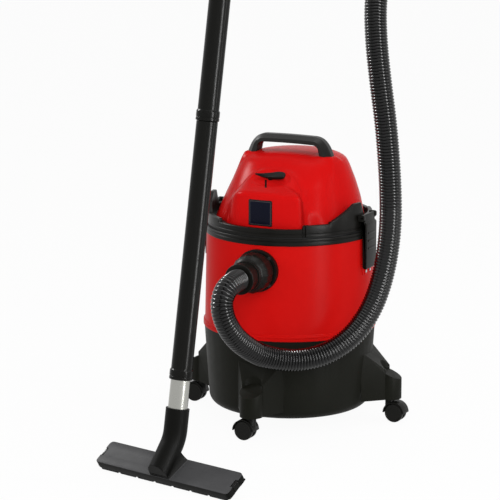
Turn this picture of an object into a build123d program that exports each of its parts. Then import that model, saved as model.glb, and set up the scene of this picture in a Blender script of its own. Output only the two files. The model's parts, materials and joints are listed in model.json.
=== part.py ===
from build123d import *
import math
import os

os.makedirs("parts", exist_ok=True)

# Wet and dry shop vacuum. Millimetres, +Z up, origin on the floor under the drum's centre.
# The front is -Y: inlet, badge and switch. The two latches lie on the X axis.

# Fits
slip = 0.1
run_fit = 0.05
seat_gap = 0.2
swing_gap = 0.5

# Base pan and its feet
ground_gap = 28
pan_height = 154
pan_taper = 10
pan_step = 1
pan_round = 20
pan_wall = 3
spigot_height = 8
foot_turn = 4
foot_side_back = 8
foot_out = 44
foot_r = 22
foot_gap = 5.5
foot_height = 49
foot_top_tilt = 25
pocket_r = 19.5
gusset_half = 46
gusset_height = 97
gusset_tip_half = 21
gusset_tip_height = 59
gusset_tip_back = 5

# Drum and rim
drum_height = 180
drum_r_top = 158.5
drum_flare = 3.5
drum_wall = 2.2
bead_height = 10
bead_out = 3
rim_height = 14
rim_out = 1.5
rim_width = 10
rim_skirt = 8

# Inlet and hose ends, sizes along the inlet axis counted from the drum's wall
inlet_drop = 47
inlet_turn = 3
inlet_bore_r = 27.2
inlet_wall = 3.8
inlet_inside = 14
inlet_flange_width = 9
inlet_flange_out = 6
inlet_neck_out = 15
inlet_screw_out = 5
inlet_screw_r = 1.8
inlet_screw_head = 3.2
inlet_screw_rise = 2
plug_back = 6
deflector_wall = 2.5
deflector_length = 34
connector_wall = 5
connector_length = 40
connector_step = 10
connector_nose = 10
connector_ribs = 18
connector_rib_half = 1.6
connector_rib_rise = 1
connector_rib_start = 3
cuff_r = 28.5
cuff_length = 30
cuff_lip = 1.8
cuff_lip_length = 5
hose_r = 21
hose_bore_r = 17
hose_groove = 1.8
hose_ribs = 190
rib_foot_share = 0.1
rib_crest_share = 0.3

# Head, heights counted from the rim's top, insets from the band's radius
head_gap = 0.4
band_inset = 4
band_wall = 8
band_front = 17
band_height = 24
floor_height = 10
head_floor = 4
head_skirt = 10
intake_r = 15
gasket_width = 4
gasket_depth = 2
ear_height = 55
ear_shoulder = 3
ear_foot_half = 92
ear_near = 38
ear_far = 18
ear_end = 4
ear_knuckle = 6
knuckle_drop = 7
knuckle_rise = 6
knuckle_out = 4.5
cover_wall = 3
cover_foot_inset = 15
cover_foot_back = 2
cover_steps = [(51, 26.5, 12), (82, 39, 18), (113, 52, 20), (130, 61, 20), (137, 80, 20), (140, 116, 20)]
cover_screw_angles = [20, 160, 200, 340]
cover_screw_inset = 30
cover_screw_back = 8
cover_screw_r = 2
boss_r = 6
boss_height = 30
screw_head_r = 3.8
screw_head = 2.6
console_half = 84
console_inset = 20
console_bow = 13
console_round = 9
console_height = 124
console_depth = 106
console_neck_half = 72
console_clear = 2
slope_back = 51
slope_height = 102
slope_angle = 35
badge_width = 48
badge_height = 49
badge_thick = 2
badge_rise = 20
vent_angles = [48, 56, 64, 72, 108, 116]
vent_rise = 70
vent_height = 28
vent_half = 1.8

# Blower outlet and cable gland, lengths counted from the band's radius
outlet_r = 18.2
outlet_wall = 3.8
outlet_height = 54
outlet_inside = 36
outlet_out = 7
outlet_flange_r = 28
outlet_flange_inset = 9
gland_angle = 128
gland_height = 48
gland_r = 9
gland_bore_r = 4
gland_inside = 30
gland_out = 2
gland_flange_r = 13
gland_flange_inset = 12

# Switch
switch_half = 12
switch_depth = 18
knob_shaft_r = 3
knob_hole_r = 5
knob_lift = 1
knob_disc_r = 15
knob_disc = 3
knob_wing = 8
knob_reach = 31
knob_waist = (-12, 4.5)
knob_thumb = (17, 8.5)

# Handle
handle_half = 92
handle_rise = 30
handle_bar = 15
handle_depth = 26
handle_shoulder = 70
handle_leg = 23
handle_round = 16
handle_gap_round = 8
handle_screw_in = 18
handle_screw_r = 2.4

# Latches, the right one; the left one is its mirror image
latch_pin_out = 2
latch_pin_height = 27
latch_pin_r = 2
latch_barrel_r = 5
latch_half = 23.5
latch_thick = 4.8
latch_drop = 71
latch_body_height = 12
latch_wall = 3
latch_ribs = 3
latch_rib_pitch = 14.5
latch_rib_rise = 39
latch_rib_half = 16
latch_rib_out = 1.4
hook_half = 11
hook_height = 5
hook_clear = 0.5
window_near = -9
window_far = -16
window_height = 17
catch_drop = 58
catch_height = 24
catch_thick = 1.4
catch_half = 14
catch_lip_out = 2.2
lip_clear = 0.3
pad_out = 0.4
pad_half = 20
rivet_rise = 5
rivet_side = 9
rivet_r = 1.6
rivet_head_r = 2.8
rivet_head = 1.2

# Motor and fan
fan_case_r = 75
fan_case_height = 22
fan_plate = 2.5
impeller_r = 66
impeller_gap = 2
impeller_plate = 2
blade_count = 9
blade_height = 7
blade_half = 1
hub_r = 9
motor_r = 58
motor_height = 74
motor_wall = 2.5
motor_slots = 8
motor_slot = 6
shaft_r = 4
rotor_r = 34
stator_rise = 14
stator_height = 38
air_gap = 0.6
bearing_r = 11
bearing_height = 7
bearing_end_gap = 2
seat_wall = 3

# Float and filter
cage_r = 42
cage_wall = 2.5
cage_height = 86
cage_floor = 3
cage_slots = 8
cage_slot_half = 8
cage_slot_end = 12
ball_r = 24
stud_r = 6
filter_r = 62
filter_thick = 13
filter_cap_thick = 6

# Casters
wheel_r = 18
wheel_width = 8.5
wheel_side_gap = 0.7
wheel_dish = 1.2
wheel_rim = 3
hood_clear = 1.3
hood_wall = 2.2
hood_web = 7
caster_trail = 12
axle_r = 2.5
axle_boss_r = 5
stem_r = 4
stem_length = 42
stem_boss_r = 9
stem_boss_drop = 2

# Nozzle, standing on its front lip
nozzle_x = 0
nozzle_y = -522
nozzle_yaw = -14.5
nozzle_pitch = 33
nozzle_half = 156
nozzle_depth = 52
nozzle_plate = 9
insert_thick = 3
insert_edge = 2
mouth_half = 100
mouth_near = 14
mouth_far = 38
pocket_depth = 5
clip_thick = 6
clip_near = 18
clip_far = 34
clip_rise = 1
lip_height = 4
lip_thick = 4
lip_half = 148
lip_gap = 6
lip_gaps = 6
lip_gap_depth = 2.6
rear_lip_edge = 2
neck_bend_n = 30
neck_bend_z = 78
neck_slant = 38
neck_low = 71
neck_high = 54
neck_wall = 3.5
neck_bend_r = 45
neck_bore_r = 15
neck_bore_start = 12
neck_socket = 26
neck_skirt_half = 31
neck_skirt_top = 45
throat_half = 12

# Wand tubes and grip
wand_lean = 9.2
wand_bore_r = 17.5
push_depth = 30
metal_wall = 1
metal_shown = 51
sleeve_wall = 1.5
tube_wall = 1.7
tube_body = 456
collar_out = 1.8
collar_length = 18
grip_straight = 80
grip_bend = 50
grip_bend_r = 60
grip_end = 45
grip_wall = 2.5
grip_bore_r = 15.5
grip_cuff_wall = 6
grip_cuff_length = 34
grip_cuff_over = 12
slide_gap = 0.3
slide_length = 20
slide_thick = 2.4
slide_open = 9
slide_rib = 2
slide_rib_half = 8
vent_hole_r = 5
vent_hole_up = 40

# Centreline of the hose: straight out of the tank's cuff, corner by corner, straight into the grip's
hose_bends = [
    (11.5, -307, 302),
    (11, -315.5, 276),
    (18, -309, 244),
    (27, -287, 214),
    (38, -259, 191),
    (56, -227, 169.5),
    (99, -189, 158),
    (143, -156, 166),
    (181, -127, 194),
    (210, -106, 239),
    (229, -92, 297),
    (241, -84, 375),
    (242, -81, 455),
    (232, -81, 580),
    (215, -74, 670),
    (199, -59, 745),
    (188, -38, 815),
    (188, -6, 890),
    (192, 26, 965),
    (196, 52, 1045),
    (192, 58, 1128),
    (174, 34, 1204),
    (144, -22, 1258),
    (115, -97, 1285),
]
hose_first_run = 36
hose_last_run = 64
hose_bend_share = 0.45

# Heights and radii worked out from the sizes above
pan_floor_z = ground_gap
pan_top_z = pan_floor_z + pan_height
drum_r_foot = drum_r_top + drum_flare
pan_r_top = drum_r_foot + pan_step
pan_r_floor = pan_r_top - pan_taper
bead_top_z = pan_top_z + bead_height
drum_top_z = pan_top_z + drum_height
rim_top_z = drum_top_z + rim_height
rim_r = drum_r_top + rim_out
rim_inner_r = rim_r - rim_width
inlet_z = drum_top_z - inlet_drop
inlet_tube_r = inlet_bore_r + inlet_wall
inlet_flange_r = inlet_tube_r + inlet_flange_width
inlet_screw_ring = inlet_tube_r + inlet_screw_out
connector_r = inlet_tube_r + connector_wall
hood_r = wheel_r + hood_clear + hood_wall
foot_low_z = wheel_r + hood_r + foot_gap
foot_reach = pan_r_floor + foot_out
foot_top_z = foot_low_z + foot_height
gusset_top_z = foot_low_z + gusset_height
gusset_tip_z = foot_low_z + gusset_tip_height
band_r = rim_r - band_inset
band_inner_r = band_r - band_wall
band_front_z = rim_top_z + band_front
band_z = rim_top_z + band_height
head_low_z = rim_top_z + head_gap
head_floor_z = rim_top_z + floor_height
cover_low_z = head_floor_z + head_floor
ear_top_z = rim_top_z + ear_height
console_front = band_r - console_inset
console_side = console_front - console_bow
catch_lip_z = rim_top_z - catch_drop
catch_low_z = catch_lip_z - catch_height
rivet_z = catch_low_z + rivet_rise
latch_pin_x = rim_r + latch_pin_out
latch_pin_z = rim_top_z + latch_pin_height
latch_low_z = rim_top_z - latch_drop
latch_body_z = rim_top_z + latch_body_height
fan_case_z = cover_low_z + fan_case_height
motor_top_z = fan_case_z + motor_height
stator_low_z = fan_case_z + stator_rise
stator_high_z = stator_low_z + stator_height
cage_low_z = head_floor_z - cage_height
neck_r = wand_bore_r + neck_wall
tube_r = wand_bore_r + sleeve_wall
collar_r = tube_r + collar_out
grip_r = wand_bore_r + grip_wall
grip_cuff_r = grip_r + grip_cuff_wall


def turned(points, plane=Plane.XY):
    """Solid turned about the plane's normal, from a closed outline of (radius, height) points."""
    outline = Plane(origin=plane.origin, x_dir=plane.x_dir, z_dir=-plane.y_dir)
    with BuildPart() as body:
        with BuildSketch(outline):
            with BuildLine():
                Polyline(*points, close=True)
            make_face()
        revolve(axis=Axis(plane.origin, plane.z_dir))
    return body.part


def tube(inner, outer, low, high, plane=Plane.XY):
    """Plain ring or tube between two radii and two heights; a zero inner radius gives a rod."""
    return turned([(inner, low), (outer, low), (outer, high), (inner, high)], plane)


def block(corner, other, plane=Plane.XY):
    """Box between two opposite corners given in the plane's own axes."""
    middle = tuple((a + b) / 2 for a, b in zip(corner, other))
    sizes = [abs(a - b) for a, b in zip(corner, other)]
    with BuildPart(plane) as body:
        with Locations(middle):
            Box(*sizes)
    return body.part


def ring_spots(plane, radius, count, start):
    """Points spaced evenly on a circle in a plane."""
    turns = [math.radians(start + 360 * i / count) for i in range(count)]
    return [
        plane.from_local_coords(Vector(radius * math.cos(a), radius * math.sin(a), 0))
        for a in turns
    ]


def finish(piece, label):
    """Name a finished piece and write its file."""
    piece.label = label
    export_step(piece, f"parts/{label}.step")


def drum_r(z):
    """Outer radius of the drum wall at a height."""
    share = (z - bead_top_z) / (drum_top_z - bead_top_z)
    return drum_r_foot + (drum_r_top - drum_r_foot) * share


def round_spots(radius, angles, back=0):
    """Points (x, y) at given angles on a circle whose centre is set back from the axis."""
    turns = [math.radians(angle) for angle in angles]
    return [(radius * math.cos(a), back + radius * math.sin(a)) for a in turns]


# Base pan: turned shell with four lugs that carry the casters
spigot_r = drum_r_foot - drum_wall - slip
inner_floor = (pan_r_floor - pan_wall, pan_floor_z + pan_wall)
foot_plane = Plane(
    origin=(foot_reach, 0, foot_top_z),
    z_dir=(math.sin(math.radians(foot_top_tilt)), 0, math.cos(math.radians(foot_top_tilt))),
)
gusset_root = pan_r_floor - pan_wall
gusset_tip = foot_reach - gusset_tip_back
foot_angles = [-90, foot_side_back, 90, 180 - foot_side_back]
foot_angles = [angle + foot_turn for angle in foot_angles]
foot_names = ["front", "right", "rear", "left"]
foot_points = round_spots(foot_reach, foot_angles)


def foot_post(radius, keep, lift=0):
    """Upright post on a foot's axis, kept below or above the foot's slanted top."""
    with BuildPart() as post:
        with BuildSketch(Plane.XY.offset(foot_low_z)):
            with Locations((foot_reach, 0)):
                Circle(radius)
        extrude(amount=pan_top_z - foot_low_z)
        split(bisect_by=foot_plane.offset(lift), keep=keep)
    return post.part


def foot_gusset(inset):
    """Wedge from the pan's wall to a foot's post, drawn in by an inset on its sides and top."""
    with BuildPart() as wedge:
        for reach, half, top in (
            (gusset_root, gusset_half, gusset_top_z),
            (gusset_tip, gusset_tip_half, gusset_tip_z),
        ):
            with BuildSketch(Plane.YZ.offset(reach)):
                with Locations((0, (foot_low_z + top - inset) / 2)):
                    Rectangle(2 * (half - inset), top - inset - foot_low_z)
        loft()
    return wedge.part


with BuildPart() as foot_hollow:
    add(foot_gusset(pan_wall))
    add(foot_post(foot_r - pan_wall, Keep.BOTTOM, -pan_wall))
    add(foot_post(pocket_r + pan_wall, Keep.TOP, -pan_wall), mode=Mode.SUBTRACT)
    add(foot_post(stem_boss_r, Keep.BOTTOM), mode=Mode.SUBTRACT)

with BuildPart() as foot:
    add(foot_gusset(0))
    add(foot_post(foot_r, Keep.BOTTOM))
    add(foot_post(pocket_r, Keep.TOP), mode=Mode.SUBTRACT)
    add(foot_hollow.part, mode=Mode.SUBTRACT)
    with Locations((foot_reach, 0, foot_low_z)):
        Cylinder(stem_r + run_fit, 2 * stem_length, mode=Mode.SUBTRACT)

with BuildPart() as base_pan:
    with BuildSketch(Plane.XZ):
        with BuildLine():
            wall = FilletPolyline(
                (0, pan_floor_z),
                (pan_r_floor, pan_floor_z),
                (pan_r_top, pan_top_z),
                radius=pan_round,
            )
            Polyline(
                wall @ 1,
                (spigot_r, pan_top_z),
                (spigot_r, pan_top_z + spigot_height),
                (0, pan_top_z + spigot_height),
                (0, pan_floor_z),
            )
        make_face()
    revolve(axis=Axis.Z)
    for angle in foot_angles:
        add(foot.part, rotation=(0, 0, angle))
    with BuildSketch(Plane.XZ):
        with BuildLine():
            hollow = FilletPolyline(
                (0, pan_floor_z + pan_wall),
                inner_floor,
                (spigot_r - pan_wall, pan_top_z),
                radius=pan_round - pan_wall,
            )
            Polyline(
                hollow @ 1,
                (spigot_r - pan_wall, pan_top_z + 2 * spigot_height),
                (0, pan_top_z + 2 * spigot_height),
                (0, pan_floor_z + pan_wall),
            )
        make_face()
    revolve(axis=Axis.Z, mode=Mode.SUBTRACT)
finish(base_pan.part, "base_pan")

# Drum: rolled bead at the foot, a hole for the inlet and a flat pad under each latch
inlet_axis = Vector(0, -1, 0).rotate(Axis.Z, inlet_turn)
inlet_across = Vector(1, 0, 0).rotate(Axis.Z, inlet_turn)
inlet_plane = Plane(origin=(0, 0, inlet_z), x_dir=inlet_across, z_dir=inlet_axis)
pad_low_z = catch_low_z - bead_out
pad_x = drum_r(pad_low_z) + pad_out

with BuildPart() as drum:
    with BuildSketch(Plane.XZ):
        with BuildLine():
            Line((drum_r_foot - drum_wall, pan_top_z), (drum_r_foot, pan_top_z))
            ThreePointArc(
                (drum_r_foot, pan_top_z),
                (drum_r_foot + bead_out, pan_top_z + bead_height / 2),
                (drum_r_foot, bead_top_z),
            )
            Polyline(
                (drum_r_foot, bead_top_z),
                (drum_r_top, drum_top_z),
                (drum_r_top - drum_wall, drum_top_z),
                (drum_r_foot - drum_wall, bead_top_z),
                (drum_r_foot - drum_wall, pan_top_z),
            )
        make_face()
    revolve(axis=Axis.Z)
    for side in (-1, 1):
        pad_low = (side * (drum_r_top - drum_wall), -pad_half, pad_low_z)
        pad_high = (side * pad_x, pad_half, catch_lip_z + bead_height)
        add(block(pad_low, pad_high))
    with BuildSketch(inlet_plane):
        Circle(inlet_tube_r + slip)
    extrude(amount=2 * drum_r_foot, mode=Mode.SUBTRACT)
    for y in (-rivet_side, rivet_side):
        with Locations((0, y, rivet_z)):
            Cylinder(rivet_r, 4 * drum_r_foot, rotation=(0, 90, 0), mode=Mode.SUBTRACT)
    for spot in ring_spots(inlet_plane, inlet_screw_ring, 4, 45):
        with BuildSketch(Plane(origin=spot, z_dir=inlet_axis)):
            Circle(inlet_screw_r)
        extrude(amount=2 * drum_r_foot, mode=Mode.SUBTRACT)
finish(drum.part, "drum")

# Rim ring pressed over the drum's edge
skirt_r = drum_r_top - drum_wall - slip

with BuildPart() as rim_ring:
    add(
        turned(
            [
                (rim_inner_r, rim_top_z),
                (rim_r, rim_top_z),
                (rim_r, drum_top_z),
                (skirt_r, drum_top_z),
                (skirt_r, drum_top_z - rim_skirt),
                (skirt_r - drum_wall, drum_top_z - rim_skirt),
                (rim_inner_r, drum_top_z + rim_skirt),
            ]
        )
    )
finish(rim_ring.part, "rim_ring")

# Inlet port: a short tube through the drum wall with a flange that follows the wall
flange_front = drum_r(inlet_z) + inlet_flange_out
port_end = drum_r(inlet_z) + inlet_neck_out
port_start = drum_r(inlet_z) - inlet_inside
saddle = turned(
    [
        (0, bead_top_z),
        (drum_r_foot + seat_gap, bead_top_z),
        (drum_r_top + seat_gap, drum_top_z),
        (0, drum_top_z),
    ]
)

with BuildPart() as inlet_port:
    add(tube(inlet_bore_r, inlet_flange_r, port_start, flange_front, inlet_plane))
    add(saddle, mode=Mode.SUBTRACT)
    add(tube(inlet_bore_r, inlet_tube_r, port_start, port_end, inlet_plane))
    for spot in ring_spots(inlet_plane, inlet_screw_ring, 4, 45):
        with BuildSketch(Plane(origin=spot, z_dir=inlet_axis)):
            Circle(inlet_screw_r)
        extrude(amount=2 * drum_r_foot, mode=Mode.SUBTRACT)
finish(inlet_port.part, "inlet_port")

with BuildPart() as inlet_screws:
    for spot in ring_spots(inlet_plane, inlet_screw_ring, 4, 45):
        place = Plane(origin=spot, z_dir=inlet_axis)
        shank_low = port_start + plug_back
        add(
            turned(
                [
                    (0, shank_low),
                    (inlet_screw_r - run_fit, shank_low),
                    (inlet_screw_r - run_fit, flange_front),
                    (inlet_screw_head, flange_front),
                    (inlet_screw_head, flange_front + inlet_screw_rise),
                    (0, flange_front + inlet_screw_rise),
                ],
                place,
            )
        )
finish(inlet_screws.part, "inlet_screws")

# Deflector inside the drum: a hood on the port's inner end that turns the stream down
deflector_r = inlet_tube_r + deflector_wall + slip
deflector_start = port_start - deflector_length

with BuildPart() as inlet_deflector:
    add(tube(0, deflector_r, deflector_start, port_start + plug_back, inlet_plane))
    add(
        tube(0, inlet_tube_r + slip, deflector_start + deflector_wall, drum_r_foot, inlet_plane),
        mode=Mode.SUBTRACT,
    )
    add(
        block(
            (-deflector_r, -2 * deflector_r, deflector_start + deflector_wall),
            (deflector_r, 0, port_start - slip),
            inlet_plane,
        ),
        mode=Mode.SUBTRACT,
    )
finish(inlet_deflector.part, "inlet_deflector")

# Steel catches and their rivets
catch_x = pad_x + slip
catch_face = catch_x + catch_thick

for side, name in ((1, "right"), (-1, "left")):
    with BuildPart() as catch:
        add(
            block(
                (side * catch_x, -catch_half, catch_low_z),
                (side * catch_face, catch_half, catch_lip_z + catch_thick),
            )
        )
        add(
            block(
                (side * catch_x, -catch_half, catch_lip_z),
                (side * (catch_face + catch_lip_out), catch_half, catch_lip_z + catch_thick),
            )
        )
        for y in (-rivet_side, rivet_side):
            with Locations((side * catch_x, y, rivet_z)):
                Cylinder(rivet_r, 4 * catch_thick, rotation=(0, 90, 0), mode=Mode.SUBTRACT)
    finish(catch.part, f"{name}_catch")

with BuildPart() as catch_rivets:
    for side in (-1, 1):
        for y in (-rivet_side, rivet_side):
            place = Plane(origin=(0, y, rivet_z), x_dir=(0, 1, 0), z_dir=(side, 0, 0))
            add(
                turned(
                    [
                        (0, drum_r_top - drum_wall),
                        (rivet_r - run_fit, drum_r_top - drum_wall),
                        (rivet_r - run_fit, catch_face),
                        (rivet_head_r, catch_face),
                        (rivet_head_r, catch_face + rivet_head),
                        (0, catch_face + rivet_head),
                    ],
                    place,
                )
            )
finish(catch_rivets.part, "catch_rivets")

# Hose connector plugged into the port, and the cuff on the hose's end
connector_start = flange_front + inlet_screw_rise + swing_gap
connector_step_at = connector_start + connector_length
connector_end = connector_step_at + connector_nose
cuff_end = connector_end + cuff_length
plug_r = inlet_bore_r - slip
plug_start = port_start + plug_back

with BuildPart() as hose_connector:
    add(
        turned(
            [
                (hose_bore_r, plug_start),
                (plug_r, plug_start),
                (plug_r, port_end + slip),
                (inlet_tube_r + slip, port_end + slip),
                (inlet_tube_r + slip, connector_start),
                (connector_r, connector_start),
                (connector_r, connector_step_at - connector_step),
                (cuff_r + slip, connector_step_at),
                (cuff_r + slip, connector_end),
                (hose_bore_r, connector_end),
            ],
            inlet_plane,
        )
    )
    for spot in ring_spots(inlet_plane, connector_r, connector_ribs, 0):
        add(
            block(
                (-connector_rib_half, -connector_rib_half, connector_start + connector_rib_start),
                (connector_rib_rise, connector_rib_half, connector_step_at - connector_step),
                Plane(origin=spot, x_dir=spot - inlet_plane.origin, z_dir=inlet_axis),
            )
        )
finish(hose_connector.part, "hose_connector")

with BuildPart() as hose_cuff:
    add(
        turned(
            [
                (hose_bore_r, connector_end),
                (cuff_r - cuff_lip, connector_end),
                (cuff_r - cuff_lip, cuff_end - cuff_lip_length),
                (cuff_r, cuff_end - cuff_lip_length),
                (cuff_r, cuff_end),
                (hose_bore_r, cuff_end),
            ],
            inlet_plane,
        )
    )
finish(hose_cuff.part, "hose_cuff")

# Casters: hood with stem, axle and twin wheels, all with their axles along Y
caster_sides = [-1, 1, 1, -1]
wheel_inner = hood_web / 2 + wheel_side_gap
wheel_outer = wheel_inner + wheel_width
hood_half = wheel_outer + wheel_side_gap

for name, (foot_x, foot_y), side in zip(foot_names, foot_points, caster_sides):
    hub_x = foot_x + side * caster_trail
    hub_plane = Plane(origin=(hub_x, foot_y, wheel_r), x_dir=(1, 0, 0), z_dir=(0, 1, 0))
    with BuildPart() as hood:
        add(tube(0, hood_r, -hood_half, hood_half, hub_plane))
        with Locations((hub_x, foot_y, wheel_r - hood_r)):
            Box(4 * hood_r, 4 * hood_half, 2 * hood_r, mode=Mode.SUBTRACT)
        add(
            block(
                (hub_x - axle_boss_r, foot_y - hood_web / 2, wheel_r - axle_boss_r),
                (hub_x + axle_boss_r, foot_y + hood_web / 2, wheel_r + hood_clear),
            )
        )
        with BuildSketch(Plane.XY.offset(wheel_r + hood_clear)):
            with Locations((foot_x, foot_y)):
                Circle(stem_boss_r)
        extrude(amount=foot_low_z - stem_boss_drop - wheel_r - hood_clear)
        for way in (-1, 1):
            low, high = sorted((way * hood_web / 2, way * 2 * hood_half))
            add(tube(0, wheel_r + hood_clear, low, high, hub_plane), mode=Mode.SUBTRACT)
        with BuildSketch(Plane.XY.offset(foot_low_z - stem_boss_drop)):
            with Locations((foot_x, foot_y)):
                Circle(stem_r)
        extrude(amount=stem_length - stem_boss_drop)
        add(tube(0, axle_r + run_fit, -hood_half, hood_half, hub_plane), mode=Mode.SUBTRACT)
    finish(hood.part, f"{name}_caster_hood")

    with BuildPart() as axle:
        add(tube(0, axle_r, -wheel_outer + wheel_dish, wheel_outer - wheel_dish, hub_plane))
    finish(axle.part, f"{name}_caster_axle")

    with BuildPart() as wheels:
        for way in (-1, 1):
            add(
                turned(
                    [
                        (axle_r + run_fit / 2, way * wheel_inner),
                        (wheel_r, way * wheel_inner),
                        (wheel_r, way * (wheel_outer - wheel_dish)),
                        (wheel_r - wheel_dish, way * wheel_outer),
                        (wheel_r - wheel_rim, way * wheel_outer),
                        (wheel_r - wheel_rim - wheel_dish, way * (wheel_outer - wheel_dish)),
                        (axle_r + run_fit / 2, way * (wheel_outer - wheel_dish)),
                    ],
                    hub_plane,
                )
            )
    finish(wheels.part, f"{name}_caster_wheels")

# Head base: band with latch ears, floor plate and a skirt inside the rim
gasket_r = rim_r - rim_width / 2
skirt_outer_r = rim_inner_r - swing_gap
console_back = band_r - console_inset - slope_back
knuckle_y = latch_half + swing_gap
knuckle_low_z = latch_pin_z - knuckle_drop
knuckle_top_z = latch_pin_z + knuckle_rise
screw_points = round_spots(band_r - cover_screw_inset, cover_screw_angles, cover_screw_back)

with BuildPart() as ears:
    add(tube(band_inner_r, band_r, band_front_z, ear_top_z))
    with BuildSketch(Plane.YZ):
        Polygon(
            (-ear_foot_half, band_front_z),
            (ear_foot_half, band_front_z),
            (ear_foot_half, band_z + ear_shoulder),
            (-ear_end, band_z + ear_shoulder),
            (-ear_far, ear_top_z),
            (-ear_near, ear_top_z),
            (-ear_foot_half, band_z + ear_shoulder),
            align=None,
        )
    extrude(amount=2 * band_r, both=True, mode=Mode.INTERSECT)

with BuildPart() as head_base:
    add(
        turned(
            [
                (skirt_outer_r - pan_wall, rim_top_z - head_skirt),
                (skirt_outer_r, rim_top_z - head_skirt),
                (skirt_outer_r, head_low_z),
                (band_r, head_low_z),
                (band_r, band_z),
                (band_inner_r, band_z),
                (band_inner_r, cover_low_z),
                (intake_r, cover_low_z),
                (intake_r, head_floor_z),
                (skirt_outer_r - pan_wall, head_floor_z),
            ]
        )
    )
    add(
        block(
            (-console_half - console_clear, -2 * band_r, band_front_z),
            (console_half + console_clear, -console_back, ear_top_z),
        ),
        mode=Mode.SUBTRACT,
    )
    add(ears.part)
    for side in (-1, 1):
        for way in (-1, 1):
            add(
                block(
                    (side * (band_r - pan_wall), way * knuckle_y, knuckle_low_z),
                    (side * (latch_pin_x + knuckle_out), way * (knuckle_y + ear_knuckle), knuckle_top_z),
                )
            )
        with Locations((side * latch_pin_x, 0, latch_pin_z)):
            Cylinder(latch_pin_r, 4 * latch_half, rotation=(90, 0, 0), mode=Mode.SUBTRACT)
    add(
        tube(
            gasket_r - gasket_width / 2,
            gasket_r + gasket_width / 2,
            head_low_z,
            head_low_z + gasket_depth,
        ),
        mode=Mode.SUBTRACT,
    )
    with BuildSketch(Plane.XY.offset(head_floor_z)):
        with Locations(screw_points):
            Circle(cover_screw_r + slip)
    extrude(amount=head_floor, mode=Mode.SUBTRACT)
finish(head_base.part, "head_base")

with BuildPart() as rim_gasket:
    add(
        tube(
            gasket_r - gasket_width / 2 + slip,
            gasket_r + gasket_width / 2 - slip,
            rim_top_z + slip,
            head_low_z + gasket_depth - slip,
        )
    )
finish(rim_gasket.part, "rim_gasket")

# Head cover: round dome set back at the top, with a console in front under a slanted face
cover_rings = [(cover_low_z, band_r - cover_foot_inset, cover_foot_back)]
cover_rings += [(rim_top_z + height, band_r - inset, back) for height, inset, back in cover_steps]
console_low_z = band_front_z + slip
console_neck_y = console_depth - console_front
slope_turn = math.radians(slope_angle)
knob_plane = Plane(
    origin=(0, slope_back - console_front, rim_top_z + slope_height),
    x_dir=(1, 0, 0),
    z_dir=(0, -math.sin(slope_turn), math.cos(slope_turn)),
)


def cover_form(inset):
    """Solid form of the head cover, drawn in by an inset; a negative inset swells it."""
    half = console_half - inset
    neck = console_neck_half - inset
    side = -(console_side - inset)
    with BuildPart() as form:
        for z, radius, back in cover_rings:
            drop = inset if z > cover_low_z else 0
            with BuildSketch(Plane.XY.offset(z - drop)):
                with Locations((0, back)):
                    Circle(radius - inset)
        loft(ruled=True)
        with BuildSketch(Plane.XY.offset(console_low_z)):
            with BuildLine():
                ThreePointArc((-half, side), (0, -(console_front - inset)), (half, side))
                Polyline((half, side), (neck, console_neck_y), (-neck, console_neck_y), (-half, side))
            front = make_face()
            fillet(front.vertices().group_by(Axis.Y)[0], radius=console_round)
        extrude(amount=rim_top_z + console_height - console_low_z)
        split(bisect_by=knob_plane.offset(-inset), keep=Keep.BOTTOM)
    return form.part


def cover_top(radius):
    """Height of the cover's crown at a distance from the crown's own axis."""
    for (low, wide, _), (high, narrow, _) in zip(cover_rings, cover_rings[1:]):
        if narrow <= radius <= wide:
            return low + (high - low) * (wide - radius) / (wide - narrow)
    return cover_rings[-1][0]


crown_z, _, crown_back = cover_rings[-1]
handle_top_z = crown_z + handle_rise
handle_screw_x = handle_half - handle_screw_in
handle_foot_z = cover_top(math.hypot(handle_screw_x, crown_back))
badge_low_z = rim_top_z + badge_rise
badge_back = cover_wall / 2 - console_front
gland_turn = math.radians(gland_angle)
outlet_plane = Plane(origin=(0, 0, rim_top_z + outlet_height), x_dir=(-1, 0, 0), z_dir=(0, 1, 0))
gland_plane = Plane(
    origin=(0, 0, rim_top_z + gland_height),
    x_dir=(0, 0, 1),
    z_dir=(math.cos(gland_turn), math.sin(gland_turn), 0),
)
cover_swollen = cover_form(-seat_gap)

with BuildPart() as cover_bosses:
    with BuildSketch(Plane.XY.offset(cover_low_z)):
        with Locations(screw_points):
            Circle(boss_r)
    extrude(amount=boss_height)
    add(cover_form(cover_wall / 2), mode=Mode.INTERSECT)

with BuildPart() as head_cover:
    add(cover_form(0))
    add(cover_form(cover_wall), mode=Mode.SUBTRACT)
    add(cover_bosses.part)
    with BuildSketch(Plane.XY.offset(cover_low_z)):
        with Locations(screw_points):
            Circle(cover_screw_r)
    extrude(amount=boss_height - cover_wall, mode=Mode.SUBTRACT)
    add(
        block(
            (-badge_width / 2 - slip, -2 * console_front, badge_low_z - slip),
            (badge_width / 2 + slip, badge_back, badge_low_z + badge_height + slip),
        ),
        mode=Mode.SUBTRACT,
    )
    with BuildSketch(knob_plane.offset(-4 * cover_wall)):
        Circle(knob_hole_r)
    extrude(amount=8 * cover_wall, mode=Mode.SUBTRACT)
    with BuildSketch(outlet_plane):
        Circle(outlet_r + outlet_wall + slip)
    extrude(amount=2 * band_r, mode=Mode.SUBTRACT)
    with BuildSketch(gland_plane):
        Circle(gland_r + slip)
    extrude(amount=2 * band_r, mode=Mode.SUBTRACT)
    for side in (-1, 1):
        with Locations((side * handle_screw_x, 0, handle_foot_z)):
            Cylinder(handle_screw_r + slip, 8 * cover_wall, mode=Mode.SUBTRACT)
    for angle in vent_angles:
        add(
            block(
                (motor_r + cover_wall, -vent_half, rim_top_z + vent_rise),
                (2 * band_r, vent_half, rim_top_z + vent_rise + vent_height),
                Plane.XY.rotated((0, 0, angle)),
            ),
            mode=Mode.SUBTRACT,
        )
finish(head_cover.part, "head_cover")

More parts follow.
